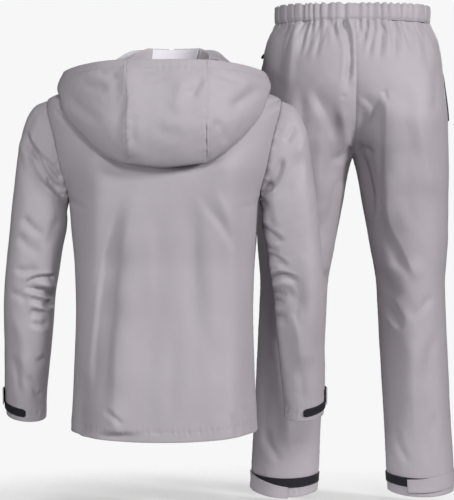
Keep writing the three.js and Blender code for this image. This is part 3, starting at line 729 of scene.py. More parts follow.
class Value:
    """One output socket of a material, with arithmetic that adds its Math nodes."""

    def __init__(self, recipe: "Recipe", socket: bpy.types.NodeSocket) -> None:
        """Keeps the socket and the recipe that it belongs to."""
        self.recipe, self.socket = recipe, socket

    def math(self, operation: str, *others: "Value | float") -> "Value":
        """A Math node of this value and others."""
        made = self.recipe.node("ShaderNodeMath", {"operation": operation}, dict(enumerate(others)))
        return Value(self.recipe, made.outputs[0])

    def __add__(self, other: "Value | float") -> "Value":
        """This value plus another."""
        return self.math("ADD", self, other)

    def __sub__(self, other: "Value | float") -> "Value":
        """This value less another."""
        return self.math("SUBTRACT", self, other)

    def __mul__(self, other: "Value | float") -> "Value":
        """This value times another."""
        return self.math("MULTIPLY", self, other)

    def __pow__(self, other: float) -> "Value":
        """This value to a power."""
        return self.math("POWER", self, other)

    __radd__ = __add__

    def sine(self) -> "Value":
        """The sine of this value in radians."""
        return self.math("SINE", self)

    def size(self) -> "Value":
        """This value without its sign."""
        return self.math("ABSOLUTE", self)


class Recipe:
    """A material's node tree in the making."""

    def __init__(self, name: str) -> None:
        """Starts a material with an empty tree."""
        self.material = bpy.data.materials.new(name)
        self.material.use_nodes = True
        self.tree = self.material.node_tree
        self.tree.nodes.clear()

    def node(self, kind: str, settings: dict | None = None, inputs: dict | None = None) -> bpy.types.Node:
        """Adds a node.

        Args:
            kind: Blender's type of the node.
            settings: Properties, which are set first. "stops" is a ramp's list of place and colour.
            inputs: Values or links of its sockets, by name or number.

        Returns:
            The node.
        """
        made = self.tree.nodes.new(kind)
        for name, value in (settings or {}).items():
            if name == "stops":
                while len(made.color_ramp.elements) < len(value):
                    made.color_ramp.elements.new(0.5)
                for element, (place, colour) in zip(made.color_ramp.elements, value):
                    element.position, element.color = place, colour
            else:
                setattr(made, name, value)
        for name, value in (inputs or {}).items():
            if isinstance(value, Value):
                self.tree.links.new(value.socket, made.inputs[name])
            else:
                made.inputs[name].default_value = value
        return made

    def out(self, made: bpy.types.Node, name: str | int = 0) -> Value:
        """One output of a node as a value."""
        return Value(self, made.outputs[name])

    def surface_uv(self) -> tuple[Value, Value]:
        """The cloth's own UV places, across and along, in metres."""
        place = self.node("ShaderNodeUVMap", {"uv_map": "cloth"})
        split = self.node("ShaderNodeSeparateXYZ", None, {0: self.out(place)})
        return self.out(split, 0), self.out(split, 1)

    def objects_place(self) -> Value:
        """The place on the object, in metres."""
        return self.out(self.node("ShaderNodeTexCoord"), "Object")

    def noise(self, scale: float, detail: float = 2.0, roughness: float = 0.5,
              stretch: Sequence[float] = (1, 1, 1)) -> Value:
        """Noise over the object, from 0 to 1.

        Args:
            scale: Swells to the metre.
            detail: Finer layers of noise.
            roughness: Strength of the finer layers.
            stretch: Factors of the scale along X, Y and Z.

        Returns:
            The noise.
        """
        place = self.node("ShaderNodeMapping", None,
                          {"Vector": self.objects_place(), "Scale": tuple(stretch)})
        made = self.node("ShaderNodeTexNoise", None, {
            "Vector": self.out(place), "Scale": scale, "Detail": detail, "Roughness": roughness})
        return self.out(made, "Fac")

    def blend(self, factor: Value, first: Sequence[float], second: Sequence[float]) -> Value:
        """A colour between two, by a factor."""
        made = self.node("ShaderNodeMix", {"data_type": "RGBA"}, {0: factor, 6: (*first, 1), 7: (*second, 1)})
        return Value(self, made.outputs[2])

    def bump(self, height: Value, distance: float, strength: float = 1.0,
             under: Value | None = None) -> Value:
        """A normal from a height.

        Args:
            height: Height from 0 to 1.
            distance: Depth of it in metres.
            strength: Strength of the effect.
            under: A normal to build on.

        Returns:
            The normal.
        """
        inputs = {"Height": height, "Distance": distance, "Strength": strength}
        if under is not None:
            inputs["Normal"] = under
        return self.out(self.node("ShaderNodeBump", None, inputs))

    def finish(self, **sockets: "Value | float | tuple") -> bpy.types.Material:
        """Ends the material with its shader.

        Args:
            **sockets: Values or links of the shader's sockets, with _ for a space.

        Returns:
            The material.
        """
        inputs = {name.replace("_", " "): value for name, value in sockets.items()}
        shader = self.node("ShaderNodeBsdfPrincipled", None, inputs)
        self.node("ShaderNodeOutputMaterial", None, {0: self.out(shader)})
        return self.material


@dataclass(frozen=True)
class CoatedCloth:
    """Woven polyester with a soft coating, such as the suit's shell."""

    name: str
    colour: tuple[float, float, float]
    roughness: float = 0.56
    sheen: float = 0.08
    thread: float = 0.00055
    crinkle: float = 0.0005
    worn: float = 0.07

    def material(self) -> bpy.types.Material:
        """Makes the material: weave, fine crinkles, and a slightly cloudy colour."""
        recipe = Recipe(self.name)
        across, along = recipe.surface_uv()
        turn = math.pi / self.thread
        weave = (across * turn).sine() * (along * turn).sine() * 0.5 + 0.5
        cloudy = recipe.noise(7.0, 3.0, 0.55)
        fine = recipe.noise(150.0, 2.0, 0.6)
        crinkles = recipe.noise(34.0, 4.0, 0.55, (1, 1, 0.7))
        tint = cloudy * 0.7 + fine * 0.15 + weave * 0.15
        dark = tuple(c * (1 - self.worn) for c in self.colour)
        light = tuple(min(1.0, c * (1 + self.worn)) for c in self.colour)
        normal = recipe.bump(crinkles, self.crinkle)
        normal = recipe.bump(weave, 0.00006, 0.6, normal)
        return recipe.finish(
            Base_Color=recipe.blend(tint, dark, light),
            Roughness=self.roughness + (cloudy - 0.5) * 0.12 + (weave - 0.5) * 0.05,
            Normal=normal, Sheen_Weight=self.sheen, Sheen_Roughness=0.45,
            Sheen_Tint=(0.95, 0.93, 1.0, 1), Specular_IOR_Level=0.34)


@dataclass(frozen=True)
class LoopTape:
    """Hook-and-loop tape: a mat of fine loops on a woven ground."""

    name: str
    colour: tuple[float, float, float]

    def material(self) -> bpy.types.Material:
        """Makes the material: a mat of loops."""
        recipe = Recipe(self.name)
        loops = recipe.out(recipe.node("ShaderNodeTexVoronoi", {"feature": "SMOOTH_F1"}, {
            "Vector": recipe.objects_place(), "Scale": 900.0, "Smoothness": 0.6}), "Distance")
        mat = recipe.noise(420.0, 3.0, 0.7)
        height = loops * 0.6 + mat * 0.6
        dark, light = self.colour, tuple(c * 1.9 for c in self.colour)
        return recipe.finish(
            Base_Color=recipe.blend(height, dark, light), Roughness=0.86 + (mat - 0.5) * 0.1,
            Normal=recipe.bump(height, 0.0004), Sheen_Weight=0.04, Sheen_Roughness=0.4,
            Specular_IOR_Level=0.2)


@dataclass(frozen=True)
class WovenTape:
    """Ribbed woven tape of a zip."""

    name: str
    colour: tuple[float, float, float]
    rib: float = 0.0009

    def material(self) -> bpy.types.Material:
        """Makes the material: herringbone ribs across the tape."""
        recipe = Recipe(self.name)
        across, along = recipe.surface_uv()
        turn = math.tau / self.rib
        ribs = ((along + across.size()) * turn).sine() * (across * turn * 1.5).sine() * 0.5 + 0.5
        light = tuple(c * 2.2 for c in self.colour)
        return recipe.finish(
            Base_Color=recipe.blend(ribs, self.colour, light), Roughness=0.72 + (ribs - 0.5) * 0.1,
            Normal=recipe.bump(ribs, 0.00015), Sheen_Weight=0.2, Specular_IOR_Level=0.3)


@dataclass(frozen=True)
class Moulded:
    """Moulded plastic, enamelled metal or rubber, slightly uneven in gloss."""

    name: str
    colour: tuple[float, float, float]
    roughness: float
    metal: float = 0.0
    coat: float = 0.0

    def material(self) -> bpy.types.Material:
        """Makes the material: fine grain with rubbed patches."""
        recipe = Recipe(self.name)
        grain, rubbed = recipe.noise(1600.0, 3.0, 0.6), recipe.noise(240.0, 2.0, 0.5)
        light = tuple(c * 1.7 + 0.004 for c in self.colour)
        return recipe.finish(
            Base_Color=recipe.blend(rubbed, self.colour, light),
            Roughness=self.roughness + (rubbed - 0.5) * 0.18,
            Normal=recipe.bump(grain, 0.00004), Metallic=self.metal, Coat_Weight=self.coat,
            Specular_IOR_Level=0.5)


@dataclass(frozen=True)
class Thread:
    """Twisted sewing thread."""

    name: str
    colour: tuple[float, float, float]

    def material(self) -> bpy.types.Material:
        """Makes the material: the thread's twist in colour and height."""
        recipe = Recipe(self.name)
        twist = recipe.noise(2600.0, 1.0, 0.5, (1, 1, 0.4))
        return recipe.finish(
            Base_Color=recipe.blend(twist, self.colour, tuple(c * 1.35 for c in self.colour)),
            Roughness=0.6 + (twist - 0.5) * 0.1, Normal=recipe.bump(twist, 0.0001), Sheen_Weight=0.3)


def made_by(finish: CoatedCloth | LoopTape | WovenTape | Moulded | Thread) -> bpy.types.Material:
    """A field that holds a finish's material."""
    return field(default_factory=finish.material)


@dataclass
class Finishes:
    """All materials of the suit, made once."""

    shell: bpy.types.Material = made_by(CoatedCloth("shell_cloth", (0.402, 0.372, 0.404)))
    inside: bpy.types.Material = made_by(CoatedCloth(
        "shell_inside", (0.50, 0.485, 0.52), roughness=0.62, sheen=0.1, crinkle=0.0004))
    lining: bpy.types.Material = made_by(CoatedCloth(
        "pale_lining", (0.68, 0.665, 0.72), roughness=0.6, sheen=0.15, worn=0.04))
    loops: bpy.types.Material = made_by(LoopTape("loop_tape", (0.011, 0.011, 0.014)))
    tape: bpy.types.Material = made_by(WovenTape("zip_tape", (0.012, 0.012, 0.015)))
    chain: bpy.types.Material = made_by(Moulded("zip_teeth", (0.02, 0.02, 0.024), 0.38))
    slider: bpy.types.Material = made_by(Moulded("slider_enamel", (0.022, 0.022, 0.026), 0.32, 0.1, 0.3))
    pull: bpy.types.Material = made_by(Moulded("pull_rubber", (0.03, 0.03, 0.034), 0.55))
    thread: bpy.types.Material = made_by(Thread("thread_grey", (0.33, 0.305, 0.335)))
    dark_thread: bpy.types.Material = made_by(Thread("thread_black", (0.02, 0.02, 0.024)))


@dataclass(frozen=True)
class Cut:
    """The flat size that a piece of cloth is cut to, in metres, and its area where it isn't a rectangle."""

    width: float
    length: float
    area: float | None = None


def dress(made: bpy.types.Object, materials: Sequence[bpy.types.Material], slot: str, nodes: Sequence[str],
          body: str = "suit", cut: Cut | None = None) -> bpy.types.Object:
    """Gives a piece its materials and its body, and hides the CAD nodes that it stands for.

    Args:
        made: The piece.
        materials: Materials of its slots.
        slot: Name of a material slot; not used.
        nodes: CAD nodes that it replaces.
        body: CAD body that it rides on.
        cut: Flat size, where it is a sheet of cloth; not used.

    Returns:
        The piece.
    """
    for material in materials:
        made.data.materials.append(material)
    if nodes:
        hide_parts(*nodes)
    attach(made, body)
    area = sum(face.area for face in made.data.polygons)
    log.info("%s: %d faces, %.4f m2 a side", made.name, len(made.data.polygons), area / 2)
    return made


def lay(finishes: Finishes, node: str, grid: ClothGrid, thick: Array | float, cut: Cut, kind: str = "shell") -> None:
    """Makes the piece of cloth that stands for a CAD node.

    Args:
        finishes: The suit's materials.
        node: Name of the node.
        grid: The cloth's outer face.
        thick: Thickness in mm, for each point or all.
        cut: Its flat size, which is passed on but not used.
        kind: Which cloth it is: shell, tab, strap, facing, lining or zip.
    """
    outer, inner, slot, ending = {
        "shell": (finishes.shell, finishes.inside, "shell", "cloth"),
        "tab": (finishes.shell, finishes.loops, "shell", "cloth"),
        "strap": (finishes.loops, finishes.loops, "strap", "tape"),
        "facing": (finishes.shell, finishes.shell, "shell", "cloth"),
        "lining": (finishes.lining, finishes.lining, "lining", "cloth"),
        "zip": (finishes.tape, finishes.tape, "zip", "tape"),
    }[kind]
    dress(cloth_mesh(f"{node}_{ending}", grid, thick), [outer, inner], slot, [node], cut=cut)


# Forms, which the solids share

BODY = Profile("level half back front back_drop front_drop power", (
    (HEM_LEVEL, 186, 128, 138, 15, 6, 2.3), (-620, 181, 124, 136, 10, 4, 2.3),
    (-480, 177, 113, 128, 4, 0, 2.3), (-400, 179, 113, 130, 0, 0, 2.3), (-320, 185, 121, 140, 0, 0, 2.3),
    (ARMPIT_LEVEL, 190, 126, 146, 0, 0, 2.3), (-194, 214, 128, 146, 2, 2, 2.4),
    (-130, 228, 122, 134, 6, 14, 2.5), (-80, 236, 108, 116, 10, 30, 2.5),
    (SHOULDER_LEVEL, 234, 98, 108, 14, 38, 2.5), (-40, 190, 84, 98, 12, 42, 2.4),
    (-18, 135, 70, 92, 12, 45, 2.2), (NECK_LEVEL, 78, 56, 84, 11, 48, 2.0)))
SLEEVE = Profile("ring out_x out_z in_x in_z y depth tilt head", (
    (0, 234, SHOULDER_LEVEL, 190, ARMPIT_LEVEL, 0, 56, 0, 1), (1, 256, -72, 192, -269, 0, 57, 0, 0.72),
    (2, 272, -92, 193.5, -276, 0, 58, 0, 0.45), (3, 285, -128, 195, -285, 0, 60, 0, 0.22),
    (4, 294, -178, 194.5, -298, 1, 62, 0, 0.06), (5, 301, -240, 196, -318, 2, 62, 1, 0),
    (6, 309, -312, 203, -350, 4, 60, 2, 0), (7, 316, -390, 211, -402, 8, 57, 4, 0),
    (8, 320, -450, 219, -454, 14, 54, 6, 0), (9, 322, -530, 226, -534, 24, 50, 8, 0),
    (10, 323, -606, 234, -612, 34, 46, 10, 0), (11, 323, -656, 239, -664, 42, 42, 11, 0),
    (12, 321, -688, 240, -696, 45, 40, 11, 0)))
HOOD_RADII = Profile("angle low wide high brim", (
    (0, 152, 190, 182, 160), (30, 170, 203, 197, 174), (45, 184, 208, 205, 186), (60, 201, 215, 211, 196),
    (68, 218, 220, 213, 201), (75, 213, 218, 214, 205), (90, 205, 212, 209, 202), (110, 154, 164, 167, 160),
    (120, 124, 133, 136, 130), (129, 104, 113, 117, 117), (150, 91, 95, 98, 99)))
HOOD_HEIGHTS = Profile("angle rest low wide high brim", (
    (0, -178, -204, -122, -50, 6), (30, -164, -192, -114, -46, 6), (45, -138, -163, -102, -42, 3),
    (60, -96, -119, -82, -36, -2), (68, -70, -86, -66, -32, -5), (75, -50, -57, -46, -29, -8),
    (90, -42, -41, -33, -22, -11), (110, -24, -30, -19, -5, 10), (120, -12, -26, -10, 7, 24),
    (129, -4, -20, 0, 24, 48), (150, 3, -26, -6, 20, 47)))
COLLAR = Profile("angle top lean", ((0, 8, 0.5), (90, 13, 2), (125, 40, 9), (145, 50, 9), (180, 50, 7)))
LEG = Profile("level middle half back front y drop", (
    (114.7, 1, 161, 108, 106, 0, 0), (84, 14, 165, 119, 112, 0, 0), (58, 25, 160, 127, 117, 0, 0),
    (20, 40, 150, 136, 122, 0, 0), (-22, 56, 138, 142, 124, 0, 0), (-79, 76, 124, 142, 120, 0, 0),
    (-128, 91, 110, 132, 112, 0, 0), (-165, 101, 101, 121, 104, 0, 0), (-212, 107, 95, 112, 98, 0, 0),
    (-254, 110.5, 91, 104, 94, 2, 0), (-339, 117.5, 82.5, 95, 88, 4, 0), (-444, 123.5, 71, 86, 84, 6, 0),
    (-550, 128.3, 70.7, 80, 78, 4, 2), (-677, 134.5, 70.7, 74, 72, 2, 4), (-803, 141, 71, 68, 66, 0, 7),
    (LEG_HEM, 143.5, 69.5, 66, 64, 0, 9)))
BODY_FOLDS = (
    Fold((-84, -250), (-134, -725), 30, 11), Fold((-48, -300), (-76, -725), 30, -5),
    Fold((54, -215), (66, -560), 26, 6), Fold((108, -250), (136, -690), 26, 6),
    Fold((90, -260), (100, -600), 24, -4))
SLEEVE_FOLDS = (
    Fold((284, -168), (212, -262), 20, 6), Fold((262, -440), (214, -462), 17, 6),
    Fold((274, -486), (220, -500), 17, 5), Fold((280, -330), (300, -560), 26, -4))
LEG_FOLDS = (
    Fold((44, -40), (48, -250), 26, 13), Fold((62, -270), (118, -420), 24, 9),
    Fold((60, -390), (104, -520), 20, 7),
    Fold((150, 60), (120, -300), 34, -5), Fold((152, -560), (112, -800), 30, 5))


def ring_point(angle: Array, half: Array, back: Array, front: Array, power: Array) -> Array:
    """A point of a ring whose back and front have their own depths.

    Args:
        angle: Direction in degrees: 0 is the back and 90 the wearer's right.
        half: Half the ring's width.
        back: Depth of its back.
        front: Depth of its front.
        power: How square it is, from 2, an oval.

    Returns:
        Points with Z at 0.
    """
    s, c = sin_of(angle), cos_of(angle)
    x, y = half * signed_power(s, 2 / power), -np.where(c > 0, back, front) * signed_power(c, 2 / power)
    return np.stack([x, y, np.zeros_like(x)], -1)


def bare_body(angle: Array, level: Array) -> Array:
    """A point of the jacket's body without its folds."""
    point = ring_point(angle, *(BODY.at(level, name) for name in ("half", "back", "front", "power")))
    drop = np.where(cos_of(angle) > 0, BODY.at(level, "back_drop"), BODY.at(level, "front_drop"))
    point[..., 2] = level - drop * cos_of(angle) ** 2
    return point


def body_point(angle: Array, level: Array) -> Array:
    """A point of the jacket's body."""
    return folded(bare_body(angle, level), np.zeros(2), BODY_FOLDS, cos_of(angle))


def armhole_cut(level: Array, cut: float) -> Array:
    """How far the armhole cuts into a panel at a level, in degrees."""
    height = (2 * level - SHOULDER_LEVEL - ARMPIT_LEVEL) / (SHOULDER_LEVEL - ARMPIT_LEVEL)
    return cut * np.sqrt(np.maximum(0.0, 1 - height**2))


def armhole_point(turn: Array) -> Array:
    """The armhole's loop: 0 at the shoulder seam, 90 on the back, 180 at the armpit, 270 on the front."""
    level = (SHOULDER_LEVEL + ARMPIT_LEVEL) / 2 + (SHOULDER_LEVEL - ARMPIT_LEVEL) / 2 * cos_of(turn)
    cut = np.where(sin_of(turn) > 0, ARMHOLE_BACK, ARMHOLE_FRONT)
    return body_point(90 - cut * sin_of(turn), level)


def sleeve_oval(turn: Array, ring: Array) -> Array:
    """An oval of the sleeve, before its head takes on the armhole's shape."""
    out_x, in_x, out_z, in_z = (SLEEVE.at(ring, name) for name in ("out_x", "in_x", "out_z", "in_z"))
    return np.stack([
        (out_x + in_x) / 2 + (out_x - in_x) / 2 * cos_of(turn),
        SLEEVE.at(ring, "y") - SLEEVE.at(ring, "depth") * signed_power(sin_of(turn), 0.94),
        (out_z + in_z) / 2 + (out_z - in_z) / 2 * cos_of(turn)], -1)


def sleeve_middle(ring: Array) -> Array:
    """The middle of a ring of the sleeve, as X and Y."""
    return np.stack([(SLEEVE.at(ring, "out_x") + SLEEVE.at(ring, "in_x")) / 2, SLEEVE.at(ring, "y")], -1)


def sleeve_point(turn: Array, ring: Array) -> Array:
    """A point of the right sleeve, by turn round it and ring down it."""
    turn, ring = np.broadcast_arrays(np.asarray(turn, float), np.asarray(ring, float))
    head = armhole_point(turn) - sleeve_oval(turn, np.zeros_like(ring))
    point = sleeve_oval(turn, ring) + head * SLEEVE.at(ring, "head")[..., None]
    point[..., 2] -= SLEEVE.at(ring, "tilt") * sin_of(turn)
    return folded(point, sleeve_middle(ring), SLEEVE_FOLDS, sin_of(turn) * ease(ring / 3))


def lean_at(angle: Array, z: Array) -> Array:
    """How far the neck leans to the wearer's right at a point."""
    size = np.abs(angle)
    beside = ease((size - 70) / 55) * (1 - 0.35 * ease((size - 130) / 50))
    return NECK_LEAN * clamp01((z + 40) / 90) * beside


class HoodLines:
    """The lowered hood's surface, as a table of its line in each direction from the neck."""

    ANGLES = np.linspace(0, HOOD_END, 301)
    SHARES = np.linspace(0, 1, 481)
    SEAM_ANGLE, SEAM_MOST = 25.0, 0.62

    def __init__(self) -> None:
        """Works out the lines, from the neck seam down to rest, and out and up to the brim."""
        lines = [self.line(angle) for angle in self.ANGLES]
        self.radius = np.array([line[0] for line in lines])
        self.height = np.array([line[1] for line in lines])

    def lying(self, angle: float, levels: Array) -> tuple[Array, Array]:
        """The body's radius and height in a direction, at some levels."""
        half, power = BODY.at(levels, "half"), BODY.at(levels, "power")
        depth = BODY.at(levels, "back" if angle < 90 else "front")
        around = np.degrees(np.arctan((abs(math.tan(math.radians(angle))) * depth / half) ** (power / 2)))
        point = bare_body(around if angle <= 90 else 180 - around, levels)
        return np.hypot(point[:, 0], point[:, 1]), point[:, 2]

    def line(self, angle: float) -> tuple[Array, Array]:
        """One direction's line.

        Args:
            angle: Direction from the centre back, in degrees.

        Returns:
            Radii and heights at even shares of its length.
        """
        levels = np.linspace(NECK_LEVEL, float(HOOD_HEIGHTS.at(np.float64(angle), "rest")), 9)
        r, z = self.lying(angle, levels)
        i = np.arange(9)
        before, after = np.maximum(i - 1, 0), np.minimum(i + 1, 8)
        run_r, run_z = r[after] - r[before], z[after] - z[before]
        off = (2 + (HOOD_REST - 2) * ease(i / 2)) / np.hypot(run_r, run_z)
        names = ("low", "wide", "high", "brim")
        r = np.concatenate([r - off * run_z, [float(HOOD_RADII.at(np.float64(angle), n)) for n in names]])
        z = np.concatenate([z + off * run_r, [float(HOOD_HEIGHTS.at(np.float64(angle), n)) for n in names]])
        run = np.concatenate([[0], np.cumsum(np.hypot(np.diff(r), np.diff(z)))])
        curve = Profile("run r z", np.stack([run, r, z], 1).tolist())
        places = self.SHARES * run[-1]
        return curve.at(places, "r"), curve.at(places, "z")

    def read(self, table: Array, angle: Array, share: Array) -> Array:
        """A value of a table between its directions and shares."""
        a = clamp01(np.abs(angle) / HOOD_END) * (len(self.ANGLES) - 1)
        s = clamp01(share) * (len(self.SHARES) - 1)
        i = np.minimum(a.astype(int), len(self.ANGLES) - 2)
        j = np.minimum(s.astype(int), len(self.SHARES) - 2)
        p, q = a - i, s - j
        near = table[i, j] * (1 - q) + table[i, j + 1] * q
        return near * (1 - p) + (table[i + 1, j] * (1 - q) + table[i + 1, j + 1] * q) * p

    def point(self, angle: Array, share: Array) -> Array:
        """A point of the hood."""
        angle, share = np.broadcast_arrays(np.asarray(angle, float), np.asarray(share, float))
        r, z = self.read(self.radius, angle, share), self.read(self.height, angle, share)
        return np.stack([r * sin_of(angle) + lean_at(angle, z), -r * cos_of(angle), z], -1)

    def seam(self, side: int, share: Array) -> Array:
        """Direction of the seam between the centre panel and a side panel."""
        share = np.asarray(share, float)
        radius = self.read(self.radius, np.full_like(share, self.SEAM_ANGLE), share)
        reach = (side * HOOD_PANEL + HOOD_PANEL_SHIFT) / radius
        return np.degrees(np.arcsin(np.clip(reach, -self.SEAM_MOST, self.SEAM_MOST)))


def collar_point(angle: Array, share: Array) -> Array:
    """A point of the standing collar, by direction and share of its height."""
    angle, share = np.broadcast_arrays(np.asarray(angle, float), np.asarray(share, float))
    base = bare_body(angle, np.full_like(angle, NECK_LEVEL))
    out = unit(base * np.array([1, 1, 0]))
    start = base[..., 2] + 0.8
    z = start + (COLLAR.at(np.abs(angle), "top") - start) * share
    base = base + out * (COLLAR.at(np.abs(angle), "lean") * share - 0.6)[..., None]
    base[..., 2] = z
    base[..., 0] += lean_at(angle, z)
    return base


def leg_point(angle: Array, level: Array) -> Array:
    """A point of the right leg: -90 is its inner side, 0 its back and 90 its outer side."""
    angle, level = np.broadcast_arrays(np.asarray(angle, float), np.asarray(level, float))
    middle, y = LEG.at(level, "middle"), LEG.at(level, "y")
    point = ring_point(angle, LEG.at(level, "half"), LEG.at(level, "back"), LEG.at(level, "front"), 2.2)
    dropped = level - LEG.at(level, "drop") * signed_power(cos_of(angle), 2)
    point += np.stack([middle + LEG_PART, y, dropped], -1)
    facing = cos_of(angle) * ease((BAND_BOTTOM - level) / 40)
    return folded(point, np.stack([middle, y], -1), LEG_FOLDS, facing)


def seat_cut(level: Array) -> Array:
    """Where a leg's ring meets the plane of the seat seam, as an angle from its back."""
    return np.degrees(np.arcsin(np.minimum(1.0, LEG.at(level, "middle") / LEG.at(level, "half")) ** 1.1))


# Sewing

def sewn_line(name: str, paths: Sequence[Array], pitch: float, size: tuple[float, float]) -> bpy.types.Object:
    """Makes rows of stitches: one stitch is modelled, and copied along each path.

    Args:
        name: Name of the piece.
        paths: Lines of points in mm, one for each row of sewing.
        pitch: Length from one stitch to the next, in mm.
        size: Length and thickness of a stitch, in mm.

    Returns:
        The new object.
    """
    points, made = [], Faces()
    shape, rings = stitch_shape()
    for path in paths:
        run = lengths_along(path, 0)
        count = max(1, int(run[-1] / pitch))
        places = (np.arange(count) + 0.5) * run[-1] / count
        at = np.stack([np.interp(places, run, path[:, k]) for k in range(3)], -1)
        ahead = np.stack([np.interp(places + 0.5, run, path[:, k]) for k in range(3)], -1)
        behind = np.stack([np.interp(places - 0.5, run, path[:, k]) for k in range(3)], -1)
        way = unit(ahead - behind)
        beside = unit(np.cross(way, np.array([0.0, 1.0, 0.001])))
        up = np.cross(beside, way)
        for middle, x, y, z in zip(at, way, beside, up):
            for ring in rings:
                made.add([v + len(points) * len(shape) for v in ring], np.zeros((len(ring), 2)), 0)
            along = middle + shape[:, :1] * size[0] * x
            points.append(along + shape[:, 1:2] * size[1] * y + shape[:, 2:] * size[1] * z)
    return mesh_object(name, np.concatenate(points) * MM, made)


_STITCH: dict = {}


def stitch_shape() -> tuple[Array, list]:
    """Models one stitch: a short thread, thicker in its middle, 1 long and 1 thick.

    Returns:
        Its vertices and its faces.
    """
    if not _STITCH:
        bpy.ops.object.select_all(action="DESELECT")
        bpy.ops.mesh.primitive_cylinder_add(vertices=4, radius=0.5, depth=1.0, rotation=(0, math.pi / 2, 0))
        made = bpy.context.object
        bpy.ops.object.transform_apply(location=True, rotation=True, scale=True)
        bpy.ops.object.mode_set(mode="EDIT")
        bpy.ops.mesh.select_all(action="SELECT")
        bpy.ops.mesh.bisect(plane_co=(0, 0, 0), plane_no=(1, 0, 0))
        bpy.ops.object.mode_set(mode="OBJECT")
        points = np.array([v.co for v in made.data.vertices])
        ends = np.abs(points[:, 0]) > 0.3
        points[ends, 1:] *= 0.45
        points[ends, 2] -= 0.3
        _STITCH.update(points=points, faces=[list(p.vertices) for p in made.data.polygons])
        bpy.data.objects.remove(made)
    return _STITCH["points"], _STITCH["faces"]


def sew(finishes: Finishes, name: str, paths: Sequence[Array], pitch: float = 3.2, dark: bool = False,
        size: tuple[float, float] = (2.5, 0.55)) -> None:
    """Adds rows of stitches in a finish that suits the cloth below."""
    made = sewn_line(name, paths, pitch, size)
    dress(made, [finishes.dark_thread if dark else finishes.thread], "shell", [])


CLOTH, HEM_WALL, BAND_WALL = 1.1, 2.0, 1.6
STRAP_WALL, CUFF_TAB_WALL, HEM_TAB_WALL = 1.2, 1.3, 1.4
FACING_WALL, TAPE_WALL = 0.8, 0.7


def shell_wall(grid: ClothGrid, hem_start: float = 0.0, hem_stop: float = 0.0) -> Array:
    """Thickness of a panel, which is thicker in its turned hems.

    Args:
        grid: The panel.
        hem_start: Depth of the hem at the first row, in mm.
        hem_stop: Depth of the hem at the last row, in mm.

    Returns:
        Thickness at each point, in mm.
    """
    wall = np.full(grid.points.shape[:2], CLOTH)
    for depth, run in ((hem_start, grid.from_start()), (hem_stop, grid.from_stop())):
        if depth:
            wall += (HEM_WALL - CLOTH) * ease((depth + 1.5 - run) / 2.5)
    return wall


# The jacket

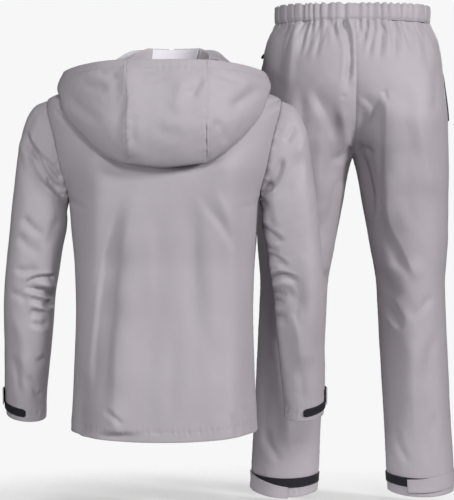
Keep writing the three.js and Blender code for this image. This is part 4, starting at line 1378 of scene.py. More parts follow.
@dataclass
class JacketBody:
    """Back panel and two fronts of the jacket, with its hem and side seams."""

    finishes: Finishes
    back_step: float = 3.05
    front_step: float = 4.2
    hem: float = 20.0
    relief: float = 1.7
    flat: float = 15.0
    flat_middle: float = 132.0
    flat_width: float = 38.0
    flat_top: float = -120.0
    creases: Sequence[Crease] = at_back(
        # the long fold down the left of the back, steep on its left, and its neighbours
        (((138, 176), (130, 224), (124, 268), (121, 312), (118, 350), (117, 400), (116, 436)), -6.5, 33, 0.4,
         -0.2, 0.25, 0.02),
        (((125, 184), (113, 226), (105, 270), (100, 312), (96, 340), (94, 372), (92, 404)), 1.8, 9, 0.6,
         -0.35, 0.35, 0.2),
        (((153, 210), (150, 262), (151, 320)), -1.6, 14, 0.2, 0.3, 0.4, 0.5),
        (((197, 186), (207, 206), (224, 228), (236, 252), (241, 292)), 2.0, 13, 0.35, -0.25, 0.35, 0.5),
        (((211, 180), (224, 208), (234, 236), (240, 290)), -1.4, 11, 0.3, 0.3, 0.3, 0.4),
        (((195, 200), (194, 262), (197, 340)), 2.2, 17, 0.2, 0.2, 0.3, 0.6),
        (((178, 300), (172, 380), (170, 430)), 1.5, 18, 0.1, 0.0, 0.5, 0.3),
        (((214, 320), (219, 380), (222, 430)), 1.2, 18, 0.1, 0.0, 0.5, 0.2),
        (((246, 300), (249, 350), (252, 410)), 1.2, 12, 0.2, 0.0),
        # corners of the hem
        (((105, 409), (114, 416), (125, 426)), 1.5, 6, 0.7, 0.2, 0.2, 0.3),
        (((84, 366), (80, 402), (80, 436)), 3.4, 17, 0.2, -0.3, 0.4, 0.05),
        (((244, 402), (249, 414), (256, 431)), 1.9, 6, 0.6, 0.0, 0.3, 0.1),
        (((231, 411), (236, 424), (239, 436)), 1.3, 7, 0.4, 0.0, 0.4, 0.1),
        # drags towards the armpits
        (((284, 158), (276, 176), (266, 190), (254, 197)), 2.0, 8, 0.5, 0.1, 0.3, 0.4),
        (((264, 200), (250, 206), (234, 208)), 0.8, 8, 0.3, 0.0, 0.2, 0.5),
        (((66, 196), (78, 206), (90, 210)), 0.9, 7, 0.4, 0.0, 0.2, 0.5),
        (((284, 104), (276, 106), (266, 112)), 2.0, 7, 0.6, 0.2, 0.15, 0.3),
        (((60, 99), (64, 108), (70, 121)), 1.6, 6, 0.6, 0.2, 0.2, 0.3),
        (((54, 108), (60, 116), (68, 124)), 1.1, 5, 0.6, 0.0, 0.2, 0.3),
    ) + at_front(
        # the front, which the photograph hides: the same kinds of folds
        (((244, 182), (232, 232), (226, 300), (222, 372), (220, 430)), 4.2, 17, 0.35, -0.2, 0.3, 0.05),
        (((96, 196), (104, 246), (108, 320), (112, 420)), 4.4, 18, 0.3, 0.2, 0.3, 0.05),
        (((236, 150), (214, 186), (196, 236), (190, 290)), 3.0, 16, 0.25, 0.0, 0.4, 0.5),
        (((86, 150), (108, 184), (126, 232), (134, 290)), 3.0, 16, 0.25, 0.0, 0.4, 0.5),
        (((258, 184), (244, 200), (222, 210)), 2.6, 9, 0.45, 0.0, 0.2, 0.5),
        (((66, 184), (84, 204), (104, 212)), 2.6, 9, 0.45, 0.0, 0.2, 0.5),
        (((190, 330), (192, 380), (194, 430)), -2.2, 15, 0.1, 0.0, 0.5, 0.1),
        (((138, 330), (134, 380), (132, 430)), 2.2, 15, 0.2, 0.0, 0.5, 0.1),
    )

    def levels(self, spacing: float, cut: float) -> Array:
        """Levels of the rows, close enough on the shoulders and the armhole's edge."""
        probes = [
            lambda level: bare_body(np.full_like(level, 0.01 if cut == ARMHOLE_BACK else 179.9), level),
            lambda level: bare_body(np.full_like(level, 60.0 if cut == ARMHOLE_BACK else 120.0), level),
            lambda level: bare_body(90 - armhole_cut(level, cut) * 0.6, level)]
        return even_rows(probes, HEM_LEVEL, NECK_LEVEL, spacing)

    def panel(self, rows: Array, start: Array, stop: Array, step: float, seed: int) -> ClothGrid:
        """One panel with its folds, hem and seams.

        Args:
            rows: Levels of its rows.
            start: Where each row starts, in degrees.
            stop: Where each row stops.
            step: Most distance between columns, in mm.
            seed: Which unevenness it has.

        Returns:
            The panel.
        """
        wide = lengths_along(body_point(np.linspace(start[0], stop[0], 200), np.full(200, rows[0])), 0)[-1]
        grid = ClothGrid(sweep(body_point, rows, start, stop, round(wide / (step * DENSITY))))
        self.flatten(grid)
        grid.crease(self.creases, self.relief)
        grid.uneven(0.45, (80, 90, 190), seed)
        grid.uneven(0.1, (40, 40, 90), seed + 1, True)
        run, up = grid.from_left(), grid.from_start()
        grid.pucker(run, up - self.hem, 0.45, 15, 8, seed + 2)
        grid.groove(up - self.hem, 0.45, 1.9)
        for away in (grid.from_left(), grid.from_right()):
            grid.groove(away, 0.5, 2.0)
            grid.pucker(up, away, 0.18, 21, 8, seed + 3)
        grid.groove(grid.from_stop(), 0.8, 3.0)
        return grid

    def flatten(self, grid: ClothGrid) -> None:
        """Lets the back hang flat from shoulder blade to side, and turn round only near the side seams."""
        x, z = grid.points[..., 0], grid.points[..., 2]
        out = self.flat * np.exp(-(((np.abs(x) - self.flat_middle) / self.flat_width) ** 2))
        out = out * ease((self.flat_top - z) / 90)
        edge = ease(np.minimum(grid.from_left(), grid.from_right()) / 26)
        grid.points[..., 1] -= out * edge * (grid.points[..., 1] < 0)

    def build(self) -> None:
        """Builds the back, the fronts and their sewing."""
        rows = self.levels(self.back_step, ARMHOLE_BACK)
        reach = 90 - armhole_cut(rows, ARMHOLE_BACK) - SEAM_GAP
        back = self.panel(rows, -reach, reach, self.back_step, 11)
        lay(self.finishes, "jacket_back", back, shell_wall(back, self.hem), Cut(0.56, 0.78, 0.375))
        rows = self.levels(self.front_step, ARMHOLE_FRONT)
        beside = (ZIP_HALF + 0.6) / BODY.at(rows, "half")
        zip_edge = 180 - np.degrees(np.arcsin(beside ** (BODY.at(rows, "power") / 2)))
        side = 90 + armhole_cut(rows, ARMHOLE_FRONT) + SEAM_GAP
        hems = [back.line_at(back.from_start(), self.hem)]
        for name, start, stop, seed in (("right", side, zip_edge, 23), ("left", -zip_edge, -side, 31)):
            front = self.panel(rows, start, stop, self.front_step, seed)
            lay(self.finishes, f"jacket_front_{name}", front, shell_wall(front, self.hem),
                Cut(0.29, 0.76, 0.186))
            hems.append(front.line_at(front.from_start(), self.hem))
            beside_zip = front.from_right() if name == "right" else front.from_left()
            hems += [front.line_down(beside_zip, distance) for distance in (3.0, 9.0)]
        sew(self.finishes, "jacket_hem_stitches", hems)


@dataclass
class Sleeve:
    """One sleeve with its cuff hem, the loop strip on the cuff and the tab that closes over it."""

    finishes: Finishes
    side: str
    step: float = 2.7
    hem: float = 16.0
    relief: float = 1.6
    square: float = 5.0
    left_creases: Sequence[Crease] = at_back(
        # shoulder, from the armpit up and out
        (((23, 127), (30, 145), (44, 170), (63, 192)), 6.7, 8, 0.95, 0.25, 0.25, 0.12),
        (((31, 143), (42, 158), (54, 170), (63, 181)), 4.9, 7, 0.95, 0.2, 0.25, 0.12),
        (((27, 153), (38, 171), (50, 188)), 3.9, 8, 0.7, 0.0, 0.35, 0.3),
        (((45, 177), (55, 188), (64, 197)), 4.2, 6, 0.9, 0.0, 0.3, 0.1),
        (((53, 112), (58, 136), (62, 168)), 3.4, 8, 0.3, 0.2, 0.2, 0.3),
        (((44, 108), (36, 126), (30, 150)), -1.8, 12, 0.1, 0.0),
        (((36, 112), (28, 128), (22, 150)), 1.6, 10, 0.3, 0.0),
        (((20, 215), (31, 226), (45, 237)), 1.6, 10, 0.3, 0.1),
        (((14, 232), (28, 246), (44, 256)), 1.3, 11, 0.25, 0.0),
        (((60, 214), (52, 232), (47, 252)), 1.8, 9, 0.3, 0.0),
        # elbow
        (((24, 285), (36, 279), (56, 277)), 4.8, 7, 0.9, 0.25, 0.3, 0.1),
        (((22, 287), (36, 290), (46, 293), (58, 297)), 5.1, 7, 0.95, -0.2, 0.3, 0.1),
        (((27, 298), (41, 301), (50, 302), (58, 296)), 4.1, 6, 0.9, 0.2, 0.3, 0.1),
        (((42, 308), (55, 303)), 2.8, 6, 0.9, 0.0, 0.3, 0.1),
        (((29, 309), (38, 313), (50, 313)), 3.0, 7, 0.8, 0.2, 0.3, 0.3),
        (((30, 322), (40, 325), (50, 321)), 2.5, 7, 0.7, 0.0, 0.3, 0.3),
        (((8, 292), (20, 296), (28, 303)), 1.6, 9, 0.4, 0.0),
        (((12, 268), (26, 271), (40, 267)), 1.8, 9, 0.3, 0.0),
        (((16, 314), (22, 340), (24, 376)), -2.0, 12, 0.15, 0.0),
        (((34, 364), (47, 357)), 2.5, 7, 0.8, 0.1, 0.4, 0.1),
        (((26, 373), (33, 385), (38, 395), (44, 388)), 2.5, 8, 0.75, 0.1, 0.3, 0.2),
        (((10, 352), (17, 372), (18, 398)), 1.8, 10, 0.3, 0.0),
    )
    right_creases: Sequence[Crease] = at_back(
        # shoulder
        (((296, 123), (291, 134), (285, 143)), 2.4, 7, 0.8, 0.1, 0.3, 0.2),
        (((284, 157), (277, 177), (266, 191)), 4.8, 8, 0.8, 0.2, 0.25, 0.1),
        (((272, 181), (265, 187), (258, 193)), 4.8, 5, 1, 0.0, 0.3, 0.05),
        (((274, 184), (265, 191), (258, 197)), 4.8, 5, 1, 0.0, 0.3, 0.05),
        (((306, 120), (302, 140), (296, 160)), -1.8, 13, 0.1, 0.0),
        (((318, 138), (314, 170), (306, 200)), 1.6, 14, 0.2, 0.0, 0.4, 0.5),
        (((262, 198), (267, 214), (270, 232)), 3.2, 8, 0.7, -0.2, 0.2, 0.3),
        # the scalloped folds down the inner side
        (((259, 224), (268, 232), (285, 244)), 4.6, 8, 0.85, 0.2, 0.1, 0.35),
        (((262, 241), (270, 250), (280, 254)), 3.4, 8, 0.7, -0.2, 0.1, 0.4),
        (((259, 254), (274, 257), (290, 269)), 4.6, 7, 0.9, 0.25, 0.1, 0.35),
        (((259, 283), (271, 278), (284, 276), (300, 283)), 5.1, 7, 0.9, 0.2, 0.1, 0.35),
        (((262, 287), (276, 293), (286, 300)), 3.7, 8, 0.75, 0.0, 0.1, 0.4),
        (((258, 301), (273, 300), (287, 306)), 4.1, 7, 0.85, 0.2, 0.1, 0.4),
        (((262, 312), (276, 316), (290, 324)), 3.0, 8, 0.7, 0.0, 0.1, 0.5),
        (((292, 268), (298, 300), (296, 340)), 2.2, 12, 0.2, -0.2, 0.4, 0.4),
        (((306, 250), (310, 300), (312, 352)), -1.8, 15, 0.1, 0.0, 0.4, 0.5),
        (((293, 304), (299, 338), (302, 374)), -5.5, 22, 0.6, -0.3, 0.25, 0.3),
        (((280, 394), (284, 402), (289, 411)), 2.3, 6, 0.8, 0.0, 0.3, 0.1),
        (((300, 366), (302, 388), (303, 406)), 1.6, 10, 0.3, 0.0),
        (((266, 350), (272, 372), (276, 394)), 1.8, 9, 0.3, 0.0),
    )
    front_creases: Sequence[Crease] = at_front(
        (((300, 124), (288, 150), (270, 178)), 3.2, 9, 0.5, 0.0, 0.3, 0.2),
        (((258, 262), (276, 258), (296, 262)), 3.6, 8, 0.6, 0.2, 0.2, 0.4),
        (((258, 282), (276, 287), (298, 283)), 3.8, 8, 0.6, -0.2, 0.2, 0.4),
        (((262, 304), (280, 300), (300, 306)), 3.2, 8, 0.5, 0.0, 0.2, 0.4),
        (((310, 230), (312, 300), (306, 372)), -2.2, 14, 0.1, 0.0, 0.4, 0.4),
        (((22, 128), (34, 152), (52, 178)), 3.2, 9, 0.5, 0.0, 0.3, 0.2),
        (((58, 264), (42, 258), (24, 262)), 3.6, 8, 0.6, 0.2, 0.2, 0.4),
        (((57, 286), (40, 290), (22, 286)), 3.8, 8, 0.6, -0.2, 0.2, 0.4),
        (((55, 306), (38, 302), (20, 309)), 3.2, 8, 0.5, 0.0, 0.2, 0.4),
        (((14, 232), (12, 300), (20, 372)), -2.2, 14, 0.1, 0.0, 0.4, 0.4),
    )

    def turned(self, points: Array) -> Array:
        """Points of the right sleeve, or mirrored for the left."""
        return points if self.side == "right" else mirrored(points)

    def main(self) -> ClothGrid:
        """The sleeve itself.

        Returns:
            The sleeve as a closed grid.
        """
        probes = [lambda ring, turn=turn: sleeve_point(np.full_like(ring, turn), ring)
                  for turn in (1.0, 60.0, 90.0, 180.0)]
        rows = even_rows(probes, 0, 12, self.step)
        turns = np.linspace(0, 360, round(186 / (self.step * DENSITY)) * 2, endpoint=False)
        turn, ring = np.meshgrid(turns, rows)
        points = sleeve_point(turn, ring)
        middle = sleeve_middle(ring)
        square = self.square * sin_of(2 * turn) ** 2 * ease((ring - 1.5) / 4) * ease((10.2 - ring) / 2.5)
        points[..., :2] += unit(points[..., :2] - middle) * square[..., None]
        grid = ClothGrid(self.turned(points), closed=True)
        right = self.side == "right"
        grid.crease(self.right_creases if right else self.left_creases, self.relief)
        grid.crease(self.front_creases)
        seed = 41 if right else 57
        grid.uneven(0.45, (60, 60, 110), seed)
        grid.uneven(0.16, (26, 26, 40), seed + 1, True)
        run, down = grid.from_left(), grid.from_start()
        grid.pucker(run, down, 0.7, 14, 13, seed + 2)
        grid.groove(down, 0.6, 2.4)
        tuck = np.array([-2.4 if right else 2.4, 0.0, 0.0])
        grid.points[0] += tuck - grid.normals()[0] * 1.4
        grid.pucker(run, grid.from_stop() - self.hem, 0.5, 13, 8, seed + 3)
        grid.groove(grid.from_stop() - self.hem, 0.4, 1.8)
        return grid

    def build(self) -> None:
        """Builds the sleeve, its strip and its tab."""
        sleeve = self.main()
        name = self.side
        lay(self.finishes, f"sleeve_{name}", sleeve, shell_wall(sleeve, 0, self.hem), Cut(0.46, 0.66, 0.195))
        sew(self.finishes, f"sleeve_{name}_stitches", [
            sleeve.line_at(sleeve.from_stop(), self.hem), sleeve.line_at(sleeve.from_start(), 3.4)])
        CuffStrap(self.finishes, self).build()


@dataclass
class CuffStrap:
    """The black loop strip sewn to a cuff, and the tab that closes over it."""

    finishes: Finishes
    sleeve: Sleeve
    strip_ring: float = 11.02
    strip_tall: float = 0.5
    strip_fall: float = 0.22
    strip_turns: tuple[float, float] = (-25, 94)
    strip_lift: float = 1.9
    tab_ring: float = 10.72
    tab_tall: float = 0.78
    tab_rise: float = 0.19
    tab_turns: tuple[float, float] = (-105, 22)
    tab_lift: float = 2.4
    tab_stands_off: float = 3.4
    middle: tuple[float, float] = (280.0, 40.0)

    def strip_point(self, turn: Array, across: Array) -> Array:
        """A point of the strip, which falls as it goes round the back."""
        rounded = 0.09 * clamp01((turn - 84) / 10) ** 2 * np.sign(across - self.strip_tall / 2)
        ring = self.strip_ring + across - rounded + self.strip_fall * (turn + 25) / 120
        return self.lifted(sleeve_point(turn, ring), self.strip_lift)

    def tab_point(self, turn: Array, across: Array) -> Array:
        """A point of the tab, which comes round from the front and stands off at its end."""
        ring = self.tab_ring + across - self.tab_rise * (turn + 100) / 120
        out = self.tab_lift + self.tab_stands_off * ease((turn + 20) / 45)
        return self.lifted(sleeve_point(turn, ring), out)

    def lifted(self, points: Array, out: Array | float) -> Array:
        """Points moved out from the middle of the cuff, onto the sleeve's creases."""
        away = points[..., :2] - np.array(self.middle)
        moved = points.copy()
        moved[..., :2] += unit(away) * np.broadcast_to(out, points.shape[:-1])[..., None]
        return moved

    def build(self) -> None:
        """Builds the strip and the tab with their sewing."""
        name = self.sleeve.side
        strip_places = np.meshgrid(np.linspace(*self.strip_turns, 61), np.linspace(0, self.strip_tall, 13))
        tab_places = np.meshgrid(np.linspace(*self.tab_turns, 61), np.linspace(0, self.tab_tall, 15))
        strip = ClothGrid(self.sleeve.turned(self.strip_point(*strip_places)))
        tab = ClothGrid(self.sleeve.turned(self.tab_point(*tab_places)))
        lay(self.finishes, f"cuff_strip_{name}", strip, STRAP_WALL, Cut(0.1, 0.018), "strap")
        lay(self.finishes, f"cuff_tab_{name}", tab, CUFF_TAB_WALL, Cut(0.115, 0.027), "tab")
        sew(self.finishes, f"cuff_strip_{name}_stitches", strip.rims(1.6), 2.6, True, (2.0, 0.45))
        sew(self.finishes, f"cuff_tab_{name}_stitches", tab.rims(2.0), 2.8)


@dataclass
class Hood:
    """The lowered hood: a centre panel between two side panels, with a turned brim."""

    finishes: Finishes
    lines: HoodLines = field(default_factory=HoodLines)
    step: float = 3.0
    brim: float = 17.0
    relief: float = 1.7
    evened: int = 40
    creases: Sequence[Crease] = at_back(
        (((122, 60), (127, 84), (128, 120), (129, 160)), -2.4, 17, 0.9, -0.3, 0.2, 0.1),
        (((208, 60), (207, 90), (208, 124), (209, 158)), -1.6, 15, 0.9, 0.3, 0.2, 0.1),
        (((128, 68), (146, 72), (172, 70)), 1.9, 9, 0.35, 0.2, 0.3, 0.5),
        (((132, 77), (152, 80), (170, 77)), 1.2, 9, 0.2, 0.0),
        (((204, 74), (197, 86), (190, 101)), 2.6, 11, 0.25, 0.2),
        (((184, 76), (178, 96), (176, 116)), -1.8, 15, 0.1, 0.0),
        (((127, 92), (124, 104), (120, 121)), 1.6, 6, 0.5, 0.1),
        (((136, 112), (132, 128), (134, 148)), 1.4, 9, 0.3, 0.0),
        (((76, 78), (92, 86), (110, 88)), 1.7, 10, 0.3, 0.0),
        (((66, 92), (82, 110), (104, 126)), 1.6, 13, 0.15, 0.0),
        (((96, 70), (108, 76), (120, 74)), 1.2, 7, 0.4, 0.0),
        (((216, 70), (228, 78), (246, 82)), 1.6, 9, 0.3, 0.0),
        (((262, 84), (246, 98), (228, 110)), 1.8, 12, 0.2, 0.0),
        (((212, 118), (222, 130), (226, 146)), 1.5, 9, 0.3, 0.0),
        (((150, 122), (168, 134), (186, 130)), 1.2, 15, 0.05, 0.0),
    )

    def panel(self, start: Callable[[Array], Array], stop: Callable[[Array], Array], wide: float,
              seed: int) -> ClothGrid:
        """One panel between two seams.

        Args:
            start: Direction of its left edge by share.
            stop: Direction of its right edge.
            wide: Its greatest width, in mm.
            seed: Which unevenness it has.

        Returns:
            The panel.
        """
        probes = [lambda share, angle=angle: self.lines.point(np.full_like(share, angle), share)
                  for angle in (0.0, 40.0, 80.0, 120.0)]
        rows = even_rows(probes, 0, 1, self.step)
        columns = round(wide / (self.step * DENSITY))
        grid = ClothGrid(sweep(self.lines.point, rows, start(rows), stop(rows), columns))
        grid.soften(self.evened)
        shown = ease((grid.from_start() / grid.from_start()[-1:] - 0.42) / 0.1)
        across, down = Sight.of(grid.points)
        faces = grid.normals()[..., 1]
        depth = sum(one.depth_at(across, down) * ease((one.wrap - faces) * 2.2) for one in self.creases)
        grid.press(depth * shown * self.relief)
        grid.press(0.5 * drift(grid.points, (60, 60, 60), seed) * shown)
        grid.press(0.16 * drift(grid.points, (28, 28, 28), seed + 1, crisp=True) * shown)
        run, up = grid.from_left(), grid.from_stop()
        for away, edge in ((run, start), (grid.from_right(), stop)):
            if abs(float(edge(np.array([0.5]))[0])) < 100:
                grid.press(shown * 0.9 * np.exp(-((away / 2.2) ** 2)))
                grid.press(shown * 0.3 * ripple(up / 16, seed + 2) * np.exp(-((away / 8) ** 2)))
        grid.press(0.5 * np.exp(-(((up - self.brim) / 1.9) ** 2)))
        grid.press(0.3 * ripple(run / 15, seed + 3) * np.exp(-(((up - self.brim) / 7) ** 2)))
        return grid

    def build(self) -> None:
        """Builds the panels and their topstitching."""
        end = lambda share: np.full_like(share, HOOD_END)
        panels = {
            "hood_centre": self.panel(lambda s: self.lines.seam(-1, s) + 0.04,
                                      lambda s: self.lines.seam(1, s) - 0.04, 156, 71),
            "hood_side_right": self.panel(lambda s: self.lines.seam(1, s) + 0.04, end, 330, 77),
            "hood_side_left": self.panel(lambda s: -end(s), lambda s: self.lines.seam(-1, s) - 0.04, 330, 83),
        }
        side_cut = Cut(0.34, 0.42, 0.078)
        cuts = {"hood_centre": Cut(0.16, 0.5, 0.069), "hood_side_right": side_cut, "hood_side_left": side_cut}
        rows = []
        for name, grid in panels.items():
            lay(self.finishes, name, grid, shell_wall(grid, 0, self.brim), cuts[name])
            rows.append(grid.line_at(grid.from_stop(), self.brim))
            if name != "hood_centre":
                seam = grid.from_left() if name == "hood_side_right" else grid.from_right()
                line = grid.line_down(seam, 4.5)
                rows.append(line[int(len(line) * 0.47):])
        sew(self.finishes, "hood_stitches", rows)


@dataclass
class Neck:
    """The standing collar with its pale lining and two facings inside."""

    finishes: Finishes
    step: float = 2.6
    inset: float = 2.6
    wedge: float = 223.0

    def inside(self, angle: Array, share: Array) -> Array:
        """A point of a facing, which follows the collar at a set distance."""
        point = collar_point(angle, 0.12 + 0.86 * share)
        return point - unit(point * np.array([1, 1, 0])) * self.inset

    def build(self) -> None:
        """Builds the collar, its lining and its facings."""
        places = np.linspace(-176.5, 176.5, round(240 / (self.step * DENSITY)) * 2 + 1)
        grid = ClothGrid(collar_point(*np.meshgrid(places, np.linspace(0, 1, 27))))
        grid.uneven(0.5, (36, 36, 30), 91)
        grid.uneven(0.25, (14, 14, 14), 93)
        grid.groove(grid.from_start(), 0.8, 2.6)
        grid.pucker(grid.from_left(), grid.from_stop() - 6, 0.35, 12, 6, 95)
        lay(self.finishes, "collar", grid, shell_wall(grid, 0, 6), Cut(0.45, 0.06, 0.0175))
        sew(self.finishes, "collar_stitches", [grid.line_at(grid.from_stop(), 6.0)])
        for name, start, stop, kind, cut in (
                ("collar_facing_left", -149.5, -96, "facing", Cut(0.07, 0.06, 0.0033)),
                ("collar_lining", -self.wedge, -150, "lining", Cut(0.137, 0.065, 0.008)),
                ("collar_facing_right", 96, 359.2 - self.wedge, "facing", Cut(0.055, 0.06, 0.0026))):
            piece = ClothGrid(self.inside(*np.meshgrid(np.linspace(start, stop, 61), np.linspace(0, 1, 23))))
            piece.uneven(0.25, (26, 26, 30), len(name) + 100)
            lay(self.finishes, name, piece, FACING_WALL, cut, kind)


# The trousers

@dataclass
class Waistband:
    """The gathered elastic waistband. Its gathers run on into the cloth below."""

    finishes: Finishes
    half: float = 162.0
    back: float = 106.0
    front: float = 104.0
    power: float = 2.5
    height: float = 4.4
    seen: Sequence[float] = (
        287.1, 294.3, 302.9, 308.6, 312.9, 320.0, 327.1, 335.7, 344.3, 353.6, 358.6, 367.1, 372.9, 381.4,
        388.6,
        394.3, 401.4, 407.1, 414.3, 424.3)

    def ring(self, angle: Array) -> Array:
        """A point of the band's plain ring."""
        size = np.ones_like(angle)
        return ring_point(angle, self.half * size, self.back * size, self.front * size, self.power * size)

    def gathers(self) -> tuple[Array, Array]:
        """Directions and depths of all gathers: those that the camera sees, and more of them round the front.

        Returns:
            Angles in degrees and depths in mm.
        """
        draw = np.random.default_rng(131)
        fine = np.linspace(-88, 88, 1200)
        across, _ = Sight.of(self.ring(fine) + TROUSERS + np.array([0, 0, 133]))
        back = np.interp(self.seen, across, fine)
        sides = np.array([-86.0, -78.5, -70.0, 71.0, 79.0, 87.5])
        front = np.linspace(94, 266, 27) + draw.uniform(-2.0, 2.0, 27)
        angles = np.concatenate([back, sides, front])
        return angles, draw.uniform(0.4, 1.25, len(angles)) * self.height

    def gathered(self, angle: Array, below: Array) -> Array:
        """How deep the gathers draw the cloth in.

        Args:
            angle: Directions in degrees.
            below: How far below the band's lower edge, in mm, or above it if less than 0.

        Returns:
            Depths in mm.
        """
        total = np.zeros(np.broadcast(angle, below).shape)
        for i, (middle, depth) in enumerate(zip(*self.gathers())):
            swing = 1.1 * math.sin(i * 2.1) * ease(below / 60)
            swing = swing + 0.3 * math.sin(i * 1.3) * np.sin(below / 11.0 + i)
            turn = (angle - middle - swing + 180) % 360 - 180
            away = np.abs(turn) * 2.35 * (1 + 0.35 * math.sin(i * 2.9) * np.sign(turn))
            wide = 4.9 + 1.9 * math.sin(i * 4.3) + 4.0 * ease(below / 60)
            fade = 1 - ease(below / (34 + 60 * abs(math.sin(i * 1.7))))
            total = np.maximum(total, depth * fade * clamp01(1 - away / wide) ** 1.1)
        return total

    def point(self, angle: Array, level: Array) -> Array:
        """A point of the gathered band."""
        ring = self.ring(angle)
        out = unit(ring * np.array([1, 1, 0]))
        rise = (level - BAND_BOTTOM) / (BAND_TOP - BAND_BOTTOM)
        belly = 1.0 * np.sin(math.pi * clamp01(rise)) ** 0.6 - 1.3 * (1 - ease(rise * 6))
        low_seam = np.exp(-(((level - BAND_BOTTOM - 3.0) / 1.6) ** 2))
        top_seam = np.exp(-(((level - BAND_TOP + 5.0) / 1.6) ** 2))
        casing = 0.7 * (low_seam + 0.5 * top_seam)
        draw_in = self.gathered(angle, 4 * np.sin(math.pi * clamp01(rise))) * (0.75 + 0.25 * rise)
        point = ring + out * (1.6 + belly - casing - draw_in)[..., None]
        scallop = 0.95 * self.gathered(angle, np.zeros_like(angle)) * ease((rise - 0.4) * 2)
        point[..., 2] = level - scallop
        return point

    def build(self) -> None:
        """Builds the band and its sewing."""
        angles = np.linspace(0, 360, round(450 / (1.8 * DENSITY)) * 2, endpoint=False)
        places = np.meshgrid(angles, np.linspace(BAND_BOTTOM + 0.2, BAND_TOP - 0.2, 19))
        grid = ClothGrid(self.point(*places) + TROUSERS, closed=True)
        grid.uneven(0.25, (14, 14, 20), 137)
        lay(self.finishes, "waistband", grid, BAND_WALL, Cut(1.1, 0.042))
        up = grid.from_start()
        sew(self.finishes, "waistband_stitches", [grid.line_at(up, 2.2), grid.line_at(up, 31.0)], 3.0)


